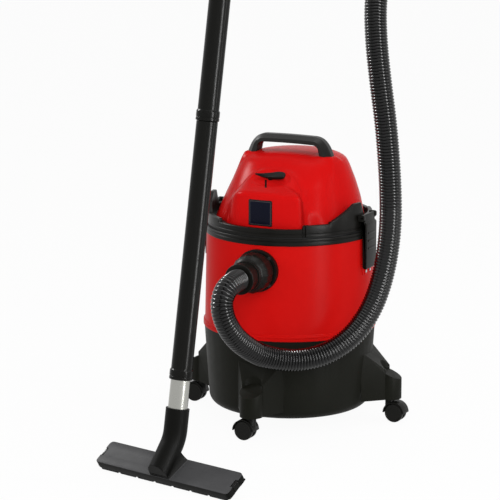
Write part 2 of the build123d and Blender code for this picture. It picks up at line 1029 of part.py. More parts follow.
with BuildPart() as cover_screws:
    for x, y in screw_points:
        place = Plane(origin=(x, y, 0))
        add(
            turned(
                [
                    (0, head_floor_z - screw_head),
                    (screw_head_r, head_floor_z - screw_head),
                    (screw_head_r, head_floor_z),
                    (cover_screw_r - run_fit, head_floor_z),
                    (cover_screw_r - run_fit, cover_low_z + boss_height / 2),
                    (0, cover_low_z + boss_height / 2),
                ],
                place,
            )
        )
finish(cover_screws.part, "cover_screws")

with BuildPart() as badge_plate:
    add(
        block(
            (-badge_width / 2, badge_back - badge_thick, badge_low_z),
            (badge_width / 2, badge_back, badge_low_z + badge_height),
        )
    )
    fillet(badge_plate.edges().filter_by(Axis.Y), radius=badge_thick)
finish(badge_plate.part, "badge_plate")

# Blower outlet and cable gland at the back
with BuildPart() as blower_outlet:
    inner_end = band_r - outlet_inside
    add(tube(outlet_r, outlet_flange_r, inner_end, band_r - outlet_flange_inset, outlet_plane))
    add(cover_swollen, mode=Mode.SUBTRACT)
    add(tube(outlet_r, outlet_r + outlet_wall, inner_end, band_r + outlet_out, outlet_plane))
finish(blower_outlet.part, "blower_outlet")

with BuildPart() as cable_gland:
    inner_end = band_r - gland_inside
    add(tube(gland_bore_r, gland_flange_r, inner_end, band_r - gland_flange_inset, gland_plane))
    add(cover_swollen, mode=Mode.SUBTRACT)
    add(tube(gland_bore_r, gland_r, inner_end, band_r + gland_out, gland_plane))
finish(cable_gland.part, "cable_gland")

# Carrying handle on the crown, held by two screws from inside
handle_low_z = handle_foot_z - handle_bar

with BuildPart() as handle:
    with BuildSketch(Plane.XZ) as arch:
        Polygon(
            (-handle_half, handle_low_z),
            (handle_half, handle_low_z),
            (handle_shoulder, handle_top_z),
            (-handle_shoulder, handle_top_z),
            align=None,
        )
        fillet(arch.vertices().group_by(Axis.Y)[-1], radius=handle_round)
        with BuildSketch(Plane.XZ, mode=Mode.PRIVATE) as gap:
            Polygon(
                (-handle_half + handle_leg, handle_low_z),
                (handle_half - handle_leg, handle_low_z),
                (handle_shoulder - handle_bar, handle_top_z - handle_bar),
                (-handle_shoulder + handle_bar, handle_top_z - handle_bar),
                align=None,
            )
            fillet(gap.vertices().group_by(Axis.Y)[-1], radius=handle_gap_round)
        add(gap.sketch, mode=Mode.SUBTRACT)
    extrude(amount=handle_depth / 2, both=True)
    add(cover_swollen, mode=Mode.SUBTRACT)
    for side in (-1, 1):
        with Locations((side * handle_screw_x, 0, handle_foot_z)):
            Cylinder(handle_screw_r, 2 * (handle_bar + slip), mode=Mode.SUBTRACT)
finish(handle.part, "handle")

with BuildPart() as handle_screws:
    for side in (-1, 1):
        place = Plane(origin=(side * handle_screw_x, 0, handle_foot_z))
        seat = -2 * cover_wall
        add(
            turned(
                [
                    (0, seat - screw_head),
                    (screw_head_r, seat - screw_head),
                    (screw_head_r, seat),
                    (handle_screw_r - run_fit, seat),
                    (handle_screw_r - run_fit, handle_bar),
                    (0, handle_bar),
                ],
                place,
            )
        )
finish(handle_screws.part, "handle_screws")

# Switch: body behind the slanted face, wing knob in front of it
with BuildPart() as switch_body:
    add(
        block(
            (-switch_half, -switch_half, -cover_wall - seat_gap - switch_depth),
            (switch_half, switch_half, -cover_wall - seat_gap),
            knob_plane,
        )
    )
    add(
        tube(0, knob_shaft_r + run_fit, -cover_wall - switch_depth + knob_lift, 0, knob_plane),
        mode=Mode.SUBTRACT,
    )
finish(switch_body.part, "switch_body")

with BuildPart() as switch_knob:
    add(tube(0, knob_shaft_r, -switch_depth, knob_lift, knob_plane))
    add(tube(0, knob_disc_r, knob_lift, knob_lift + knob_disc, knob_plane))
    with BuildSketch(knob_plane.offset(knob_lift)):
        with BuildLine():
            Spline(
                (-knob_reach, 0),
                knob_waist,
                knob_thumb,
                (knob_reach, 0),
                (knob_thumb[0], -knob_thumb[1]),
                (knob_waist[0], -knob_waist[1]),
                periodic=True,
            )
        make_face()
    extrude(amount=knob_disc + knob_wing)
finish(switch_knob.part, "switch_knob")

# Latches hung on pins between the ears' knuckles
latch_inner_x = catch_face + catch_lip_out + lip_clear
latch_outer_x = latch_inner_x + latch_thick
hook_top_z = catch_lip_z - swing_gap
rib_z = [latch_low_z + latch_rib_rise + i * latch_rib_pitch for i in range(latch_ribs)]

with BuildPart() as latch_pins:
    for side in (-1, 1):
        with Locations((side * latch_pin_x, 0, latch_pin_z)):
            Cylinder(latch_pin_r - run_fit, 2 * (knuckle_y + ear_knuckle), rotation=(90, 0, 0))
finish(latch_pins.part, "latch_pins")

for side, name in ((1, "right"), (-1, "left")):
    with BuildPart() as latch:
        with Locations((side * latch_pin_x, 0, latch_pin_z)):
            Cylinder(latch_barrel_r, 2 * latch_half, rotation=(90, 0, 0))
        with BuildSketch(Plane.XZ):
            Polygon(
                (side * latch_pin_x, latch_pin_z),
                (side * (latch_pin_x + latch_barrel_r), latch_pin_z),
                (side * latch_outer_x, latch_body_z),
                (side * latch_outer_x, latch_low_z),
                (side * latch_inner_x, latch_low_z),
                (side * latch_inner_x, latch_body_z - latch_thick),
                (side * latch_pin_x, latch_body_z),
                align=None,
            )
        extrude(amount=latch_half, both=True)
        add(
            block(
                (side * (catch_face + hook_clear), -hook_half, hook_top_z - hook_height),
                (side * latch_outer_x, hook_half, hook_top_z),
            )
        )
        for way in (-1, 1):
            add(
                block(
                    (side * (rim_r + swing_gap), way * (latch_half - latch_wall), latch_low_z),
                    (side * latch_inner_x, way * latch_half, latch_body_z),
                )
            )
        for z in rib_z:
            add(
                block(
                    (side * latch_inner_x, -latch_rib_half, z - latch_rib_out),
                    (side * (latch_outer_x + latch_rib_out), latch_rib_half, z + latch_rib_out),
                )
            )
        add(
            block(
                (side * latch_inner_x, window_far, latch_low_z + latch_rib_out),
                (side * 2 * latch_outer_x, window_near, latch_low_z + window_height),
            ),
            mode=Mode.SUBTRACT,
        )
        with Locations((side * latch_pin_x, 0, latch_pin_z)):
            Cylinder(latch_pin_r, 4 * latch_half, rotation=(90, 0, 0), mode=Mode.SUBTRACT)
    finish(latch.part, f"{name}_latch")

# Motor and fan
bearing_seat_r = bearing_r + run_fit
fan_top_seat_z = fan_case_z - bearing_height
motor_seat_z = motor_top_z - motor_wall - bearing_end_gap - bearing_height

with BuildPart() as fan_housing:
    add(
        turned(
            [
                (intake_r, cover_low_z),
                (fan_case_r, cover_low_z),
                (fan_case_r, fan_case_z),
                (bearing_seat_r, fan_case_z),
                (bearing_seat_r, fan_top_seat_z),
                (bearing_seat_r + seat_wall, fan_top_seat_z),
                (bearing_seat_r + seat_wall, fan_case_z - fan_plate),
                (fan_case_r - fan_plate, fan_case_z - fan_plate),
                (fan_case_r - fan_plate, cover_low_z + fan_plate),
                (intake_r, cover_low_z + fan_plate),
            ]
        )
    )
finish(fan_housing.part, "fan_housing")

with BuildPart() as motor_housing:
    add(
        turned(
            [
                (motor_r - motor_wall, fan_case_z),
                (motor_r, fan_case_z),
                (motor_r, motor_top_z),
                (0, motor_top_z),
                (0, motor_top_z - motor_wall),
                (bearing_seat_r, motor_top_z - motor_wall),
                (bearing_seat_r, motor_seat_z),
                (bearing_seat_r + seat_wall, motor_seat_z),
                (bearing_seat_r + seat_wall, motor_top_z - motor_wall),
                (motor_r - motor_wall, motor_top_z - motor_wall),
            ]
        )
    )
    for spot in ring_spots(Plane.XY.offset(motor_seat_z), motor_r, motor_slots, 0):
        with Locations(spot):
            Box(motor_slot, motor_slot, bearing_height, mode=Mode.SUBTRACT)
finish(motor_housing.part, "motor_housing")

with BuildPart() as lower_bearing:
    add(tube(shaft_r + run_fit, bearing_r, fan_top_seat_z, fan_case_z))
finish(lower_bearing.part, "lower_bearing")

with BuildPart() as upper_bearing:
    add(tube(shaft_r + run_fit, bearing_r, motor_seat_z, motor_seat_z + bearing_height))
finish(upper_bearing.part, "upper_bearing")

with BuildPart() as motor_stator:
    add(tube(rotor_r + air_gap, motor_r - motor_wall - run_fit, stator_low_z, stator_high_z))
finish(motor_stator.part, "motor_stator")

impeller_low_z = cover_low_z + fan_plate + impeller_gap
blade_top_z = impeller_low_z + blade_height

with BuildPart() as motor_shaft:
    add(tube(0, shaft_r, impeller_low_z, motor_seat_z + bearing_height))
finish(motor_shaft.part, "motor_shaft")

with BuildPart() as rotor:
    add(tube(shaft_r + run_fit / 2, rotor_r, stator_low_z, stator_high_z))
finish(rotor.part, "rotor")

with BuildPart() as impeller:
    add(tube(0, impeller_r, impeller_low_z, impeller_low_z + impeller_plate))
    for i in range(blade_count):
        add(
            block(
                (hub_r - blade_half, -blade_half, impeller_low_z),
                (impeller_r - blade_half, blade_half, blade_top_z),
                Plane.XY.rotated((0, 0, 360 * i / blade_count)),
            )
        )
    add(tube(0, hub_r, impeller_low_z, blade_top_z))
    add(tube(0, shaft_r + run_fit / 2, impeller_low_z, blade_top_z), mode=Mode.SUBTRACT)
finish(impeller.part, "impeller")

# Float and filter under the head
with BuildPart() as float_cage:
    add(tube(stud_r + slip, cage_r, cage_low_z, cage_low_z + cage_floor))
    add(tube(cage_r - cage_wall, cage_r, cage_low_z, head_floor_z))
    for i in range(cage_slots):
        add(
            block(
                (cage_r - 2 * cage_wall, -cage_slot_half, cage_low_z + cage_slot_end),
                (cage_r + cage_wall, cage_slot_half, head_floor_z - cage_slot_end),
                Plane.XY.rotated((0, 0, 360 * i / cage_slots)),
            ),
            mode=Mode.SUBTRACT,
        )
finish(float_cage.part, "float_cage")

with BuildPart() as float_ball:
    with Locations((0, 0, cage_low_z + cage_floor + ball_r + seat_gap)):
        Sphere(ball_r)
finish(float_ball.part, "float_ball")

filter_low_z = cage_low_z - cage_floor

with BuildPart() as filter_sleeve:
    add(tube(filter_r - filter_thick, filter_r, filter_low_z, head_floor_z - seat_gap))
finish(filter_sleeve.part, "filter_sleeve")

with BuildPart() as filter_cap:
    add(tube(0, filter_r, filter_low_z - filter_cap_thick, filter_low_z))
    add(tube(0, stud_r, filter_low_z, cage_low_z + cage_floor))
finish(filter_cap.part, "filter_cap")

# Wand: nozzle, tubes and grip lie in one upright plane; a skirt joins the neck to the nozzle's plate
upright = Vector(0, 0, 1)
across = Vector(1, 0, 0).rotate(Axis.Z, nozzle_yaw)
onward = Vector(0, 1, 0).rotate(Axis.Z, nozzle_yaw)


def leaning(angle):
    """Direction in the wand's plane that leans onward from upright by an angle."""
    return onward * math.sin(math.radians(angle)) + upright * math.cos(math.radians(angle))


nozzle_plane = Plane(origin=(nozzle_x, nozzle_y, 0), x_dir=across, z_dir=leaning(-nozzle_pitch))
insert_low = lip_height
plate_low = insert_low + insert_thick
plate_high = plate_low + nozzle_plate
bend_point = nozzle_plane.origin + onward * neck_bend_n + upright * neck_bend_z
neck_foot = bend_point - leaning(neck_slant) * neck_low
neck_top = bend_point + leaning(wand_lean) * neck_high
bore_foot = neck_foot + leaning(neck_slant) * neck_bore_start
wand_plane = Plane(origin=bend_point, x_dir=across, z_dir=leaning(wand_lean))


def bent_rod(radius, foot, bend, top, bend_r):
    """Round rod along two straight runs joined by an arc."""
    with BuildPart() as rod:
        with BuildLine():
            FilletPolyline(foot, bend, top, radius=bend_r)
        with BuildSketch(Plane(origin=foot, z_dir=bend - foot)):
            Circle(radius)
        sweep()
    return rod.part


with BuildPart() as nozzle_neck:
    add(bent_rod(neck_r, neck_foot, bend_point, neck_top, neck_bend_r))
    add(
        block(
            (-2 * neck_r, -4 * neck_r, -4 * neck_r),
            (2 * neck_r, 0, 4 * neck_r),
            nozzle_plane,
        ),
        mode=Mode.SUBTRACT,
    )
    add(
        block(
            (-2 * neck_r, 0, -4 * neck_r),
            (2 * neck_r, 2 * nozzle_depth, plate_low),
            nozzle_plane,
        ),
        mode=Mode.SUBTRACT,
    )

with BuildPart() as neck_skirt:
    for height, half in ((plate_low, neck_skirt_half), (neck_skirt_top, neck_r)):
        with BuildSketch(nozzle_plane.offset(height)):
            with Locations((0, nozzle_depth / 2)):
                Rectangle(2 * half, nozzle_depth)
    loft()
    neck_middle = Plane(origin=bend_point, x_dir=across, z_dir=leaning(neck_slant - 90))
    split(bisect_by=neck_middle, keep=Keep.BOTTOM)

with BuildPart() as nozzle_body:
    add(block((-nozzle_half, 0, plate_low), (nozzle_half, nozzle_depth, plate_high), nozzle_plane))
    add(nozzle_neck.part)
    add(neck_skirt.part)
    add(bent_rod(neck_bore_r, bore_foot, bend_point, neck_top, neck_bend_r), mode=Mode.SUBTRACT)
    add(
        tube(0, wand_bore_r, neck_high - neck_socket, neck_high + slip, wand_plane),
        mode=Mode.SUBTRACT,
    )
    add(
        block(
            (-mouth_half, mouth_near, plate_low),
            (mouth_half, mouth_far, plate_low + pocket_depth),
            nozzle_plane,
        ),
        mode=Mode.SUBTRACT,
    )
    add(
        block(
            (-throat_half, mouth_near, plate_low),
            (throat_half, mouth_far, plate_high + neck_bore_r),
            nozzle_plane,
        ),
        mode=Mode.SUBTRACT,
    )
    for side in (-1, 1):
        add(
            block(
                (side * (nozzle_half - clip_thick - slip), clip_near - slip, plate_low),
                (side * 2 * nozzle_half, clip_far + slip, plate_high),
                nozzle_plane,
            ),
            mode=Mode.SUBTRACT,
        )
finish(nozzle_body.part, "nozzle_body")

with BuildPart() as nozzle_insert:
    add(
        block(
            (-nozzle_half, insert_edge, insert_low),
            (nozzle_half, nozzle_depth - insert_edge, plate_low),
            nozzle_plane,
        )
    )
    add(
        block(
            (-mouth_half, mouth_near, insert_low),
            (mouth_half, mouth_far, plate_low),
            nozzle_plane,
        ),
        mode=Mode.SUBTRACT,
    )
    for side in (-1, 1):
        add(
            block(
                (side * (nozzle_half - clip_thick), clip_near, insert_low),
                (side * nozzle_half, clip_far, plate_high + clip_rise),
                nozzle_plane,
            )
        )
finish(nozzle_insert.part, "nozzle_insert")

with BuildPart() as front_lip:
    add(block((-lip_half, 0, 0), (lip_half, lip_thick, lip_height), nozzle_plane))
    for i in range(lip_gaps):
        middle = lip_half * (2 * (i + 1) / (lip_gaps + 1) - 1)
        add(
            block(
                (middle - lip_gap / 2, 0, 0),
                (middle + lip_gap / 2, lip_thick, lip_gap_depth),
                nozzle_plane,
            ),
            mode=Mode.SUBTRACT,
        )
finish(front_lip.part, "front_lip")

with BuildPart() as rear_lip:
    back = nozzle_depth - rear_lip_edge
    add(block((-lip_half, back - lip_thick, 0), (lip_half, back, lip_height), nozzle_plane))
finish(rear_lip.part, "rear_lip")

# Tubes: a bare metal one in the nozzle's neck and two sleeved ones, each pushed into the next
metal_r = wand_bore_r - slip
metal_low = neck_high - neck_socket + seat_gap
lower_foot = neck_high + metal_shown
upper_foot = lower_foot + tube_body
grip_foot = upper_foot + tube_body

with BuildPart() as metal_tube:
    add(tube(metal_r - metal_wall, metal_r, metal_low, lower_foot + push_depth - seat_gap, wand_plane))
finish(metal_tube.part, "metal_tube")

for foot_at, name in ((lower_foot, "lower"), (upper_foot, "upper")):
    body_end = foot_at + tube_body
    with BuildPart() as wand_tube:
        add(
            turned(
                [
                    (wand_bore_r, foot_at),
                    (collar_r, foot_at),
                    (collar_r, foot_at + collar_length),
                    (tube_r, foot_at + collar_length),
                    (tube_r, body_end),
                    (metal_r, body_end),
                    (metal_r, body_end + push_depth - seat_gap),
                    (metal_r - tube_wall, body_end + push_depth - seat_gap),
                    (metal_r - tube_wall, foot_at + push_depth),
                    (wand_bore_r, foot_at + push_depth),
                ],
                wand_plane,
            )
        )
    finish(wand_tube.part, f"{name}_tube")

# Bent grip, its cuff and the slide over its bleed hole
grip_lean = wand_lean + grip_bend
bend_reach = grip_bend_r * math.tan(math.radians(grip_bend / 2))
grip_start = bend_point + leaning(wand_lean) * grip_foot
grip_corner = grip_start + leaning(wand_lean) * (grip_straight + bend_reach)
grip_stop = grip_corner + leaning(grip_lean) * (bend_reach + grip_end)
hose_stop = grip_stop + leaning(grip_lean) * grip_cuff_length
grip_plane = Plane(origin=grip_stop, x_dir=across, z_dir=leaning(grip_lean))
hole_at = grip_foot + vent_hole_up

with BuildPart() as hand_grip:
    add(bent_rod(grip_r, grip_start, grip_corner, grip_stop, grip_bend_r))
    add(bent_rod(grip_bore_r, grip_start, grip_corner, grip_stop, grip_bend_r), mode=Mode.SUBTRACT)
    add(tube(0, wand_bore_r, grip_foot, grip_foot + push_depth, wand_plane), mode=Mode.SUBTRACT)
    with BuildSketch(Plane(origin=bend_point + leaning(wand_lean) * hole_at, z_dir=-wand_plane.y_dir)):
        Circle(vent_hole_r)
    extrude(amount=2 * grip_r, mode=Mode.SUBTRACT)
finish(hand_grip.part, "hand_grip")

with BuildPart() as grip_cuff:
    add(
        turned(
            [
                (grip_r + slip, -grip_cuff_over),
                (grip_cuff_r, -grip_cuff_over),
                (grip_cuff_r, grip_cuff_length),
                (hose_bore_r, grip_cuff_length),
                (hose_bore_r, slip),
                (grip_r + slip, slip),
            ],
            grip_plane,
        )
    )
finish(grip_cuff.part, "grip_cuff")

slide_r = grip_r + slide_gap
slide_low = hole_at - slide_length / 2
slide_high = hole_at + slide_length / 2

with BuildPart() as air_slide:
    add(tube(slide_r, slide_r + slide_thick, slide_low, slide_high, wand_plane))
    add(
        block(
            (-2 * grip_r, slide_open, slide_low),
            (2 * grip_r, 2 * grip_r, slide_high),
            wand_plane,
        ),
        mode=Mode.SUBTRACT,
    )
    add(
        block(
            (-slide_rib_half, -slide_r - slide_thick - slide_rib, hole_at - slide_rib),
            (slide_rib_half, -slide_r - slide_thick / 2, hole_at + slide_rib),
            wand_plane,
        )
    )
finish(air_slide.part, "air_slide")

# Hose: ribbed tube from the tank's cuff up over an arch to the grip's cuff
hose_start = inlet_plane.origin + inlet_axis * cuff_end
route = [hose_start, hose_start + inlet_axis * hose_first_run]
route += [Vector(*point) for point in hose_bends]
route += [hose_stop + leaning(grip_lean) * hose_last_run, hose_stop]
bend_radii = []
for before, corner, after in zip(route, route[1:], route[2:]):
    half_turn = math.radians((corner - before).get_angle(after - corner) / 2)
    shorter_run = min((corner - before).length, (after - corner).length)
    bend_radii.append(hose_bend_share * shorter_run / math.tan(half_turn))
print("hose bend radii", [round(r) for r in bend_radii])

with BuildLine() as hose_line:
    FilletPolyline(*route, radius=bend_radii)
hose_path = hose_line.wire()
hose_length = hose_path.length
plain_end = 2 * hose_r
rib_pitch = (hose_length - 2 * plain_end) / hose_ribs
groove_r = hose_r - hose_groove
rib_form = [(rib_foot_share, groove_r), (rib_crest_share, hose_r)]
rib_form += [(1 - rib_crest_share, hose_r), (1 - rib_foot_share, groove_r)]
stations = [(0, groove_r)]
for i in range(hose_ribs):
    for share, radius in rib_form:
        stations.append((plain_end + (i + share) * rib_pitch, radius))
stations.append((hose_length, groove_r))


def along(path, stations):
    """Solid through circles at given lengths along a path, on planes whose X axis never twists."""
    x_axis = Vector(0, 0, 1)
    with BuildPart() as rod:
        for length, radius in stations:
            ahead = path.tangent_at(length, position_mode=PositionMode.LENGTH)
            x_axis = (x_axis - ahead * x_axis.dot(ahead)).normalized()
            place = path.position_at(length, position_mode=PositionMode.LENGTH)
            with BuildSketch(Plane(origin=place, x_dir=x_axis, z_dir=ahead)):
                Circle(radius)
        loft(ruled=True)
    return rod.part


with BuildPart() as suction_hose:
    add(along(hose_path, stations))
    add(along(hose_path, [(length, hose_bore_r) for length, _ in stations]), mode=Mode.SUBTRACT)
finish(suction_hose.part, "suction_hose")
hose_section = math.pi * ((hose_r - hose_groove / 2) ** 2 - hose_bore_r**2)
hose_fill = suction_hose.part.volume / hose_section / hose_length
print("hose length", round(hose_length), "volume ratio", round(hose_fill, 3))
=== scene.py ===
import json
import logging
import math
from collections.abc import Sequence
from dataclasses import dataclass
from enum import Enum
from functools import lru_cache

import bmesh
import bpy
import numpy as np
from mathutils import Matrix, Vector


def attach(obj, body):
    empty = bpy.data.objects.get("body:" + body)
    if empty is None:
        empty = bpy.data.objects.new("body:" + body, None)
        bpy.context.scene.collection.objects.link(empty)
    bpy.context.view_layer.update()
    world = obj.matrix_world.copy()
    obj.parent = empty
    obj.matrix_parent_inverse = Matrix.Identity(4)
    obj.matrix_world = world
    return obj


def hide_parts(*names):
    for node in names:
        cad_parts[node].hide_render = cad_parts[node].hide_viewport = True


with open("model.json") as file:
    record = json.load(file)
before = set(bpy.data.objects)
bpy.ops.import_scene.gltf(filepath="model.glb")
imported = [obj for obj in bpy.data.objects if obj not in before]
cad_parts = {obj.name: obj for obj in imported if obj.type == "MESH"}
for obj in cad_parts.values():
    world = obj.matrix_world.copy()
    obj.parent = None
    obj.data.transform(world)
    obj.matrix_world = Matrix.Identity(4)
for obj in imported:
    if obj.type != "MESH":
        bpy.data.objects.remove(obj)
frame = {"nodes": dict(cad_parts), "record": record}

# Looks of a wet and dry shop vacuum. Sizes are in millimetres, as in the part's source;
# meshes are written in metres.

Array = np.ndarray
Point = tuple[float, float, float]
MM = 0.001
TAU = 2 * math.pi
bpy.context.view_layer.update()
SIDES = (("right", 1), ("left", -1))
log = logging.getLogger("shop_vacuum")


class Grain(Enum):
    """How the surface of a finish is broken up."""

    MOULDED = "moulded"
    SPUN = "spun"
    FOAM = "foam"
    WOUND = "wound"


class Role(Enum):
    """What a lamp does: it lights matt surfaces, it shows in shiny ones, or both."""

    LIGHT = "light"
    GLEAM = "gleam"
    BOTH = "both"


class Shader:
    """The node tree of a material or a world, with a single method that makes its nodes."""

    def __init__(self, owner: bpy.types.Material | bpy.types.World) -> None:
        """Start with an empty tree."""
        owner.use_nodes = True
        self.owner = owner
        self.tree = owner.node_tree
        self.tree.nodes.clear()

    def node(
        self,
        kind: str,
        settings: dict | None = None,
        inputs: dict | None = None,
        output: int | str = 0,
    ) -> "Signal":
        """Add a node.

        Args:
            kind: node type without the ShaderNode prefix.
            settings: properties, which are set first.
            inputs: socket name or number to a value or a Signal.
            output: socket that the returned signal reads.

        Returns:
            The signal of the chosen output.
        """
        made = self.tree.nodes.new("ShaderNode" + kind)
        for key, value in (settings or {}).items():
            setattr(made, key, value)
        for key, value in (inputs or {}).items():
            if isinstance(value, Signal):
                self.tree.links.new(value.socket, made.inputs[key])
            else:
                made.inputs[key].default_value = value
        return Signal(self, made.outputs[output] if made.outputs else None)

    def mix(self, share: "Signal", first: object, second: object) -> "Signal":
        """Blend two colours by a share from 0 to 1."""
        return self.node("Mix", {"data_type": "RGBA"}, {0: share, 6: first, 7: second}, 2)

    def place(self) -> "Signal":
        """The point on the piece, in metres, in the shared frame."""
        return self.node("TexCoord", output="Object")

    def noise(self, size: float, detail: float = 2.0, stretch: Point = (1, 1, 1)) -> "Signal":
        """Soft noise from 0 to 1 whose blobs are about so many millimetres across."""
        point = self.node("Mapping", {}, {"Vector": self.place(), "Scale": stretch})
        return self.node("TexNoise", {}, {"Vector": point, "Scale": 1 / (size * MM), "Detail": detail})

    def axis(self, index: int) -> "Signal":
        """One coordinate of the point on the piece, in millimetres."""
        return self.node("SeparateXYZ", {}, {0: self.place()}, index) * (1 / MM)


class Signal:
    """A shader value: arithmetic on it adds Math nodes to its tree."""

    def __init__(self, shader: Shader, socket: object) -> None:
        """Wrap an output socket."""
        self.shader = shader
        self.socket = socket

    def _math(self, operation: str, first: object, second: object = 0.0) -> "Signal":
        """Add one Math node."""
        return self.shader.node("Math", {"operation": operation}, {0: first, 1: second})

    def __add__(self, other: object) -> "Signal":
        """Sum."""
        return self._math("ADD", self, other)

    __radd__ = __add__

    def __sub__(self, other: object) -> "Signal":
        """Difference."""
        return self._math("SUBTRACT", self, other)

    def __rsub__(self, other: object) -> "Signal":
        """Difference, reflected."""
        return self._math("SUBTRACT", other, self)

    def __mul__(self, other: object) -> "Signal":
        """Product."""
        return self._math("MULTIPLY", self, other)

    __rmul__ = __mul__

    def __abs__(self) -> "Signal":
        """Size without sign."""
        return self._math("ABSOLUTE", self)

    def sine(self) -> "Signal":
        """Sine of an angle in radians."""
        return self._math("SINE", self)

    def larger(self, other: object) -> "Signal":
        """The larger of two values."""
        return self._math("MAXIMUM", self, other)

    def above(self, level: float) -> "Signal":
        """1 where the value is above a level, else 0."""
        return self._math("GREATER_THAN", self, level)


@dataclass(frozen=True)
class Finish:
    """A surface finish: colour, gloss and the grain that breaks them up.

    The colour drifts to a darker shade of itself and the roughness swings, each by its own soft noise.
    """

    name: str
    colour: Point
    roughness: float
    shade: float = 0.88
    swing: float = 0.08
    metallic: float = 0.0
    specular: float = 0.5
    grain: Grain = Grain.MOULDED
    grain_size: float = 0.9
    grain_depth: float = 0.02
    drift_size: float = 38
    gloss_size: float = 16

    def height(self, shader: Shader) -> Signal:
        """Grain height from 0 to 1: fine noise, turned lines, open cells or wound wire."""
        if self.grain is Grain.SPUN:
            return shader.noise(self.grain_size, 3.0, (1, 1, 0.04))
        if self.grain is Grain.FOAM:
            scale = 1 / (self.grain_size * MM)
            return 1 - shader.node("TexVoronoi", {}, {"Vector": shader.place(), "Scale": scale})
        if self.grain is Grain.WOUND:
            return abs((shader.axis(2) * (math.pi / self.grain_size)).sine())
        return shader.noise(self.grain_size, 2.0)

    def colours(self, shader: Shader) -> Signal:
        """Base colour with a slow drift between itself and a darker shade."""
        dark = (*(c * self.shade for c in self.colour), 1)
        return shader.mix(shader.noise(self.drift_size, 3.0), dark, (*self.colour, 1))

    def make(self) -> bpy.types.Material:
        """Build the material.

        Returns:
            A material with colour drift, uneven gloss and grain bump.
        """
        shader = Shader(bpy.data.materials.new(self.name))
        relief = {"Strength": 1.0, "Distance": self.grain_depth * MM, "Height": self.height(shader)}
        gloss = self.roughness + (shader.noise(self.gloss_size, 3.0) - 0.5) * (2 * self.swing)
        inputs = {
            "Base Color": self.colours(shader),
            "Roughness": gloss,
            "Metallic": self.metallic,
            "Specular IOR Level": self.specular,
            "Normal": shader.node("Bump", {}, relief),
        }
        surface = shader.node("BsdfPrincipled", {}, inputs)
        shader.node("OutputMaterial", {}, {"Surface": surface})
        return shader.owner


@dataclass(frozen=True)
class BadgeFinish(Finish):
    """Glossy plate with a black edge, a thin grey line and a dark bare face."""

    middle: tuple[float, float] = (2.5, 418.5)
    half: tuple[float, float] = (24, 24.5)
    edge: float = 2.6
    line: float = 0.9
    line_colour: Point = (0.06, 0.05, 0.055)
    edge_colour: Point = (0.012, 0.012, 0.013)

    def colours(self, shader: Shader) -> Signal:
        """Face, line and edge by how far the point is inside the plate's outline."""
        across = abs(shader.axis(0) - self.middle[0]) - self.half[0]
        upright = abs(shader.axis(2) - self.middle[1]) - self.half[1]
        inside = 0 - across.larger(upright)
        face = super().colours(shader)
        lined = shader.mix(inside.above(self.edge + self.line), (*self.line_colour, 1), face)
        return shader.mix(inside.above(self.edge), (*self.edge_colour, 1), lined)


@dataclass(frozen=True)
class CoverFinish(Finish):
    """Red plastic with one short dark pointer line below the switch."""

    line_at: tuple[float, float] = (-2.9, -101)
    line_half: tuple[float, float] = (2.0, 12)
    line_skew: float = 0.467
    line_low: float = 450
    line_colour: Point = (0.01, 0.006, 0.006)

    def colours(self, shader: Shader) -> Signal:
        """Dark where the point lies inside the skewed line's limits, red elsewhere."""
        forward = shader.axis(1) - self.line_at[1]
        across = abs(shader.axis(0) - self.line_at[0] + forward * self.line_skew) - self.line_half[0]
        outside = across.larger(abs(forward) - self.line_half[1]).larger(self.line_low - shader.axis(2))
        return shader.mix(outside.above(0), (*self.line_colour, 1), super().colours(shader))


@dataclass(frozen=True)
class PlateFinish(Finish):
    """Grey on the nozzle's flat top and near-black on its walls and neck: the top's grey is partly painted
    light from above, the walls' black partly painted shade.
    """

    origin: Point = (0, -522, 0)
    up: Point = (-0.1364, -0.5273, 0.8387)
    top: float = 18.6
    depth: float = 0.7
    # Near-black for the walls and neck, partly painted shade.
    wall_shade_colour: Point = (0.004, 0.004, 0.0035)

    def colours(self, shader: Shader) -> Signal:
        """Grey where the height over the nozzle's own plane is the top face's, black elsewhere; the grey is
        partly painted light, the black partly painted shade.
        """
        height = 0 - self.top
        for index in range(3):
            height = (shader.axis(index) - self.origin[index]) * self.up[index] + height
        # Painted light and shade: the top face keeps the lighter grey, the walls and neck take the darker
        # black.
        return shader.mix(abs(height).above(self.depth), super().colours(shader), (*self.wall_shade_colour, 1))


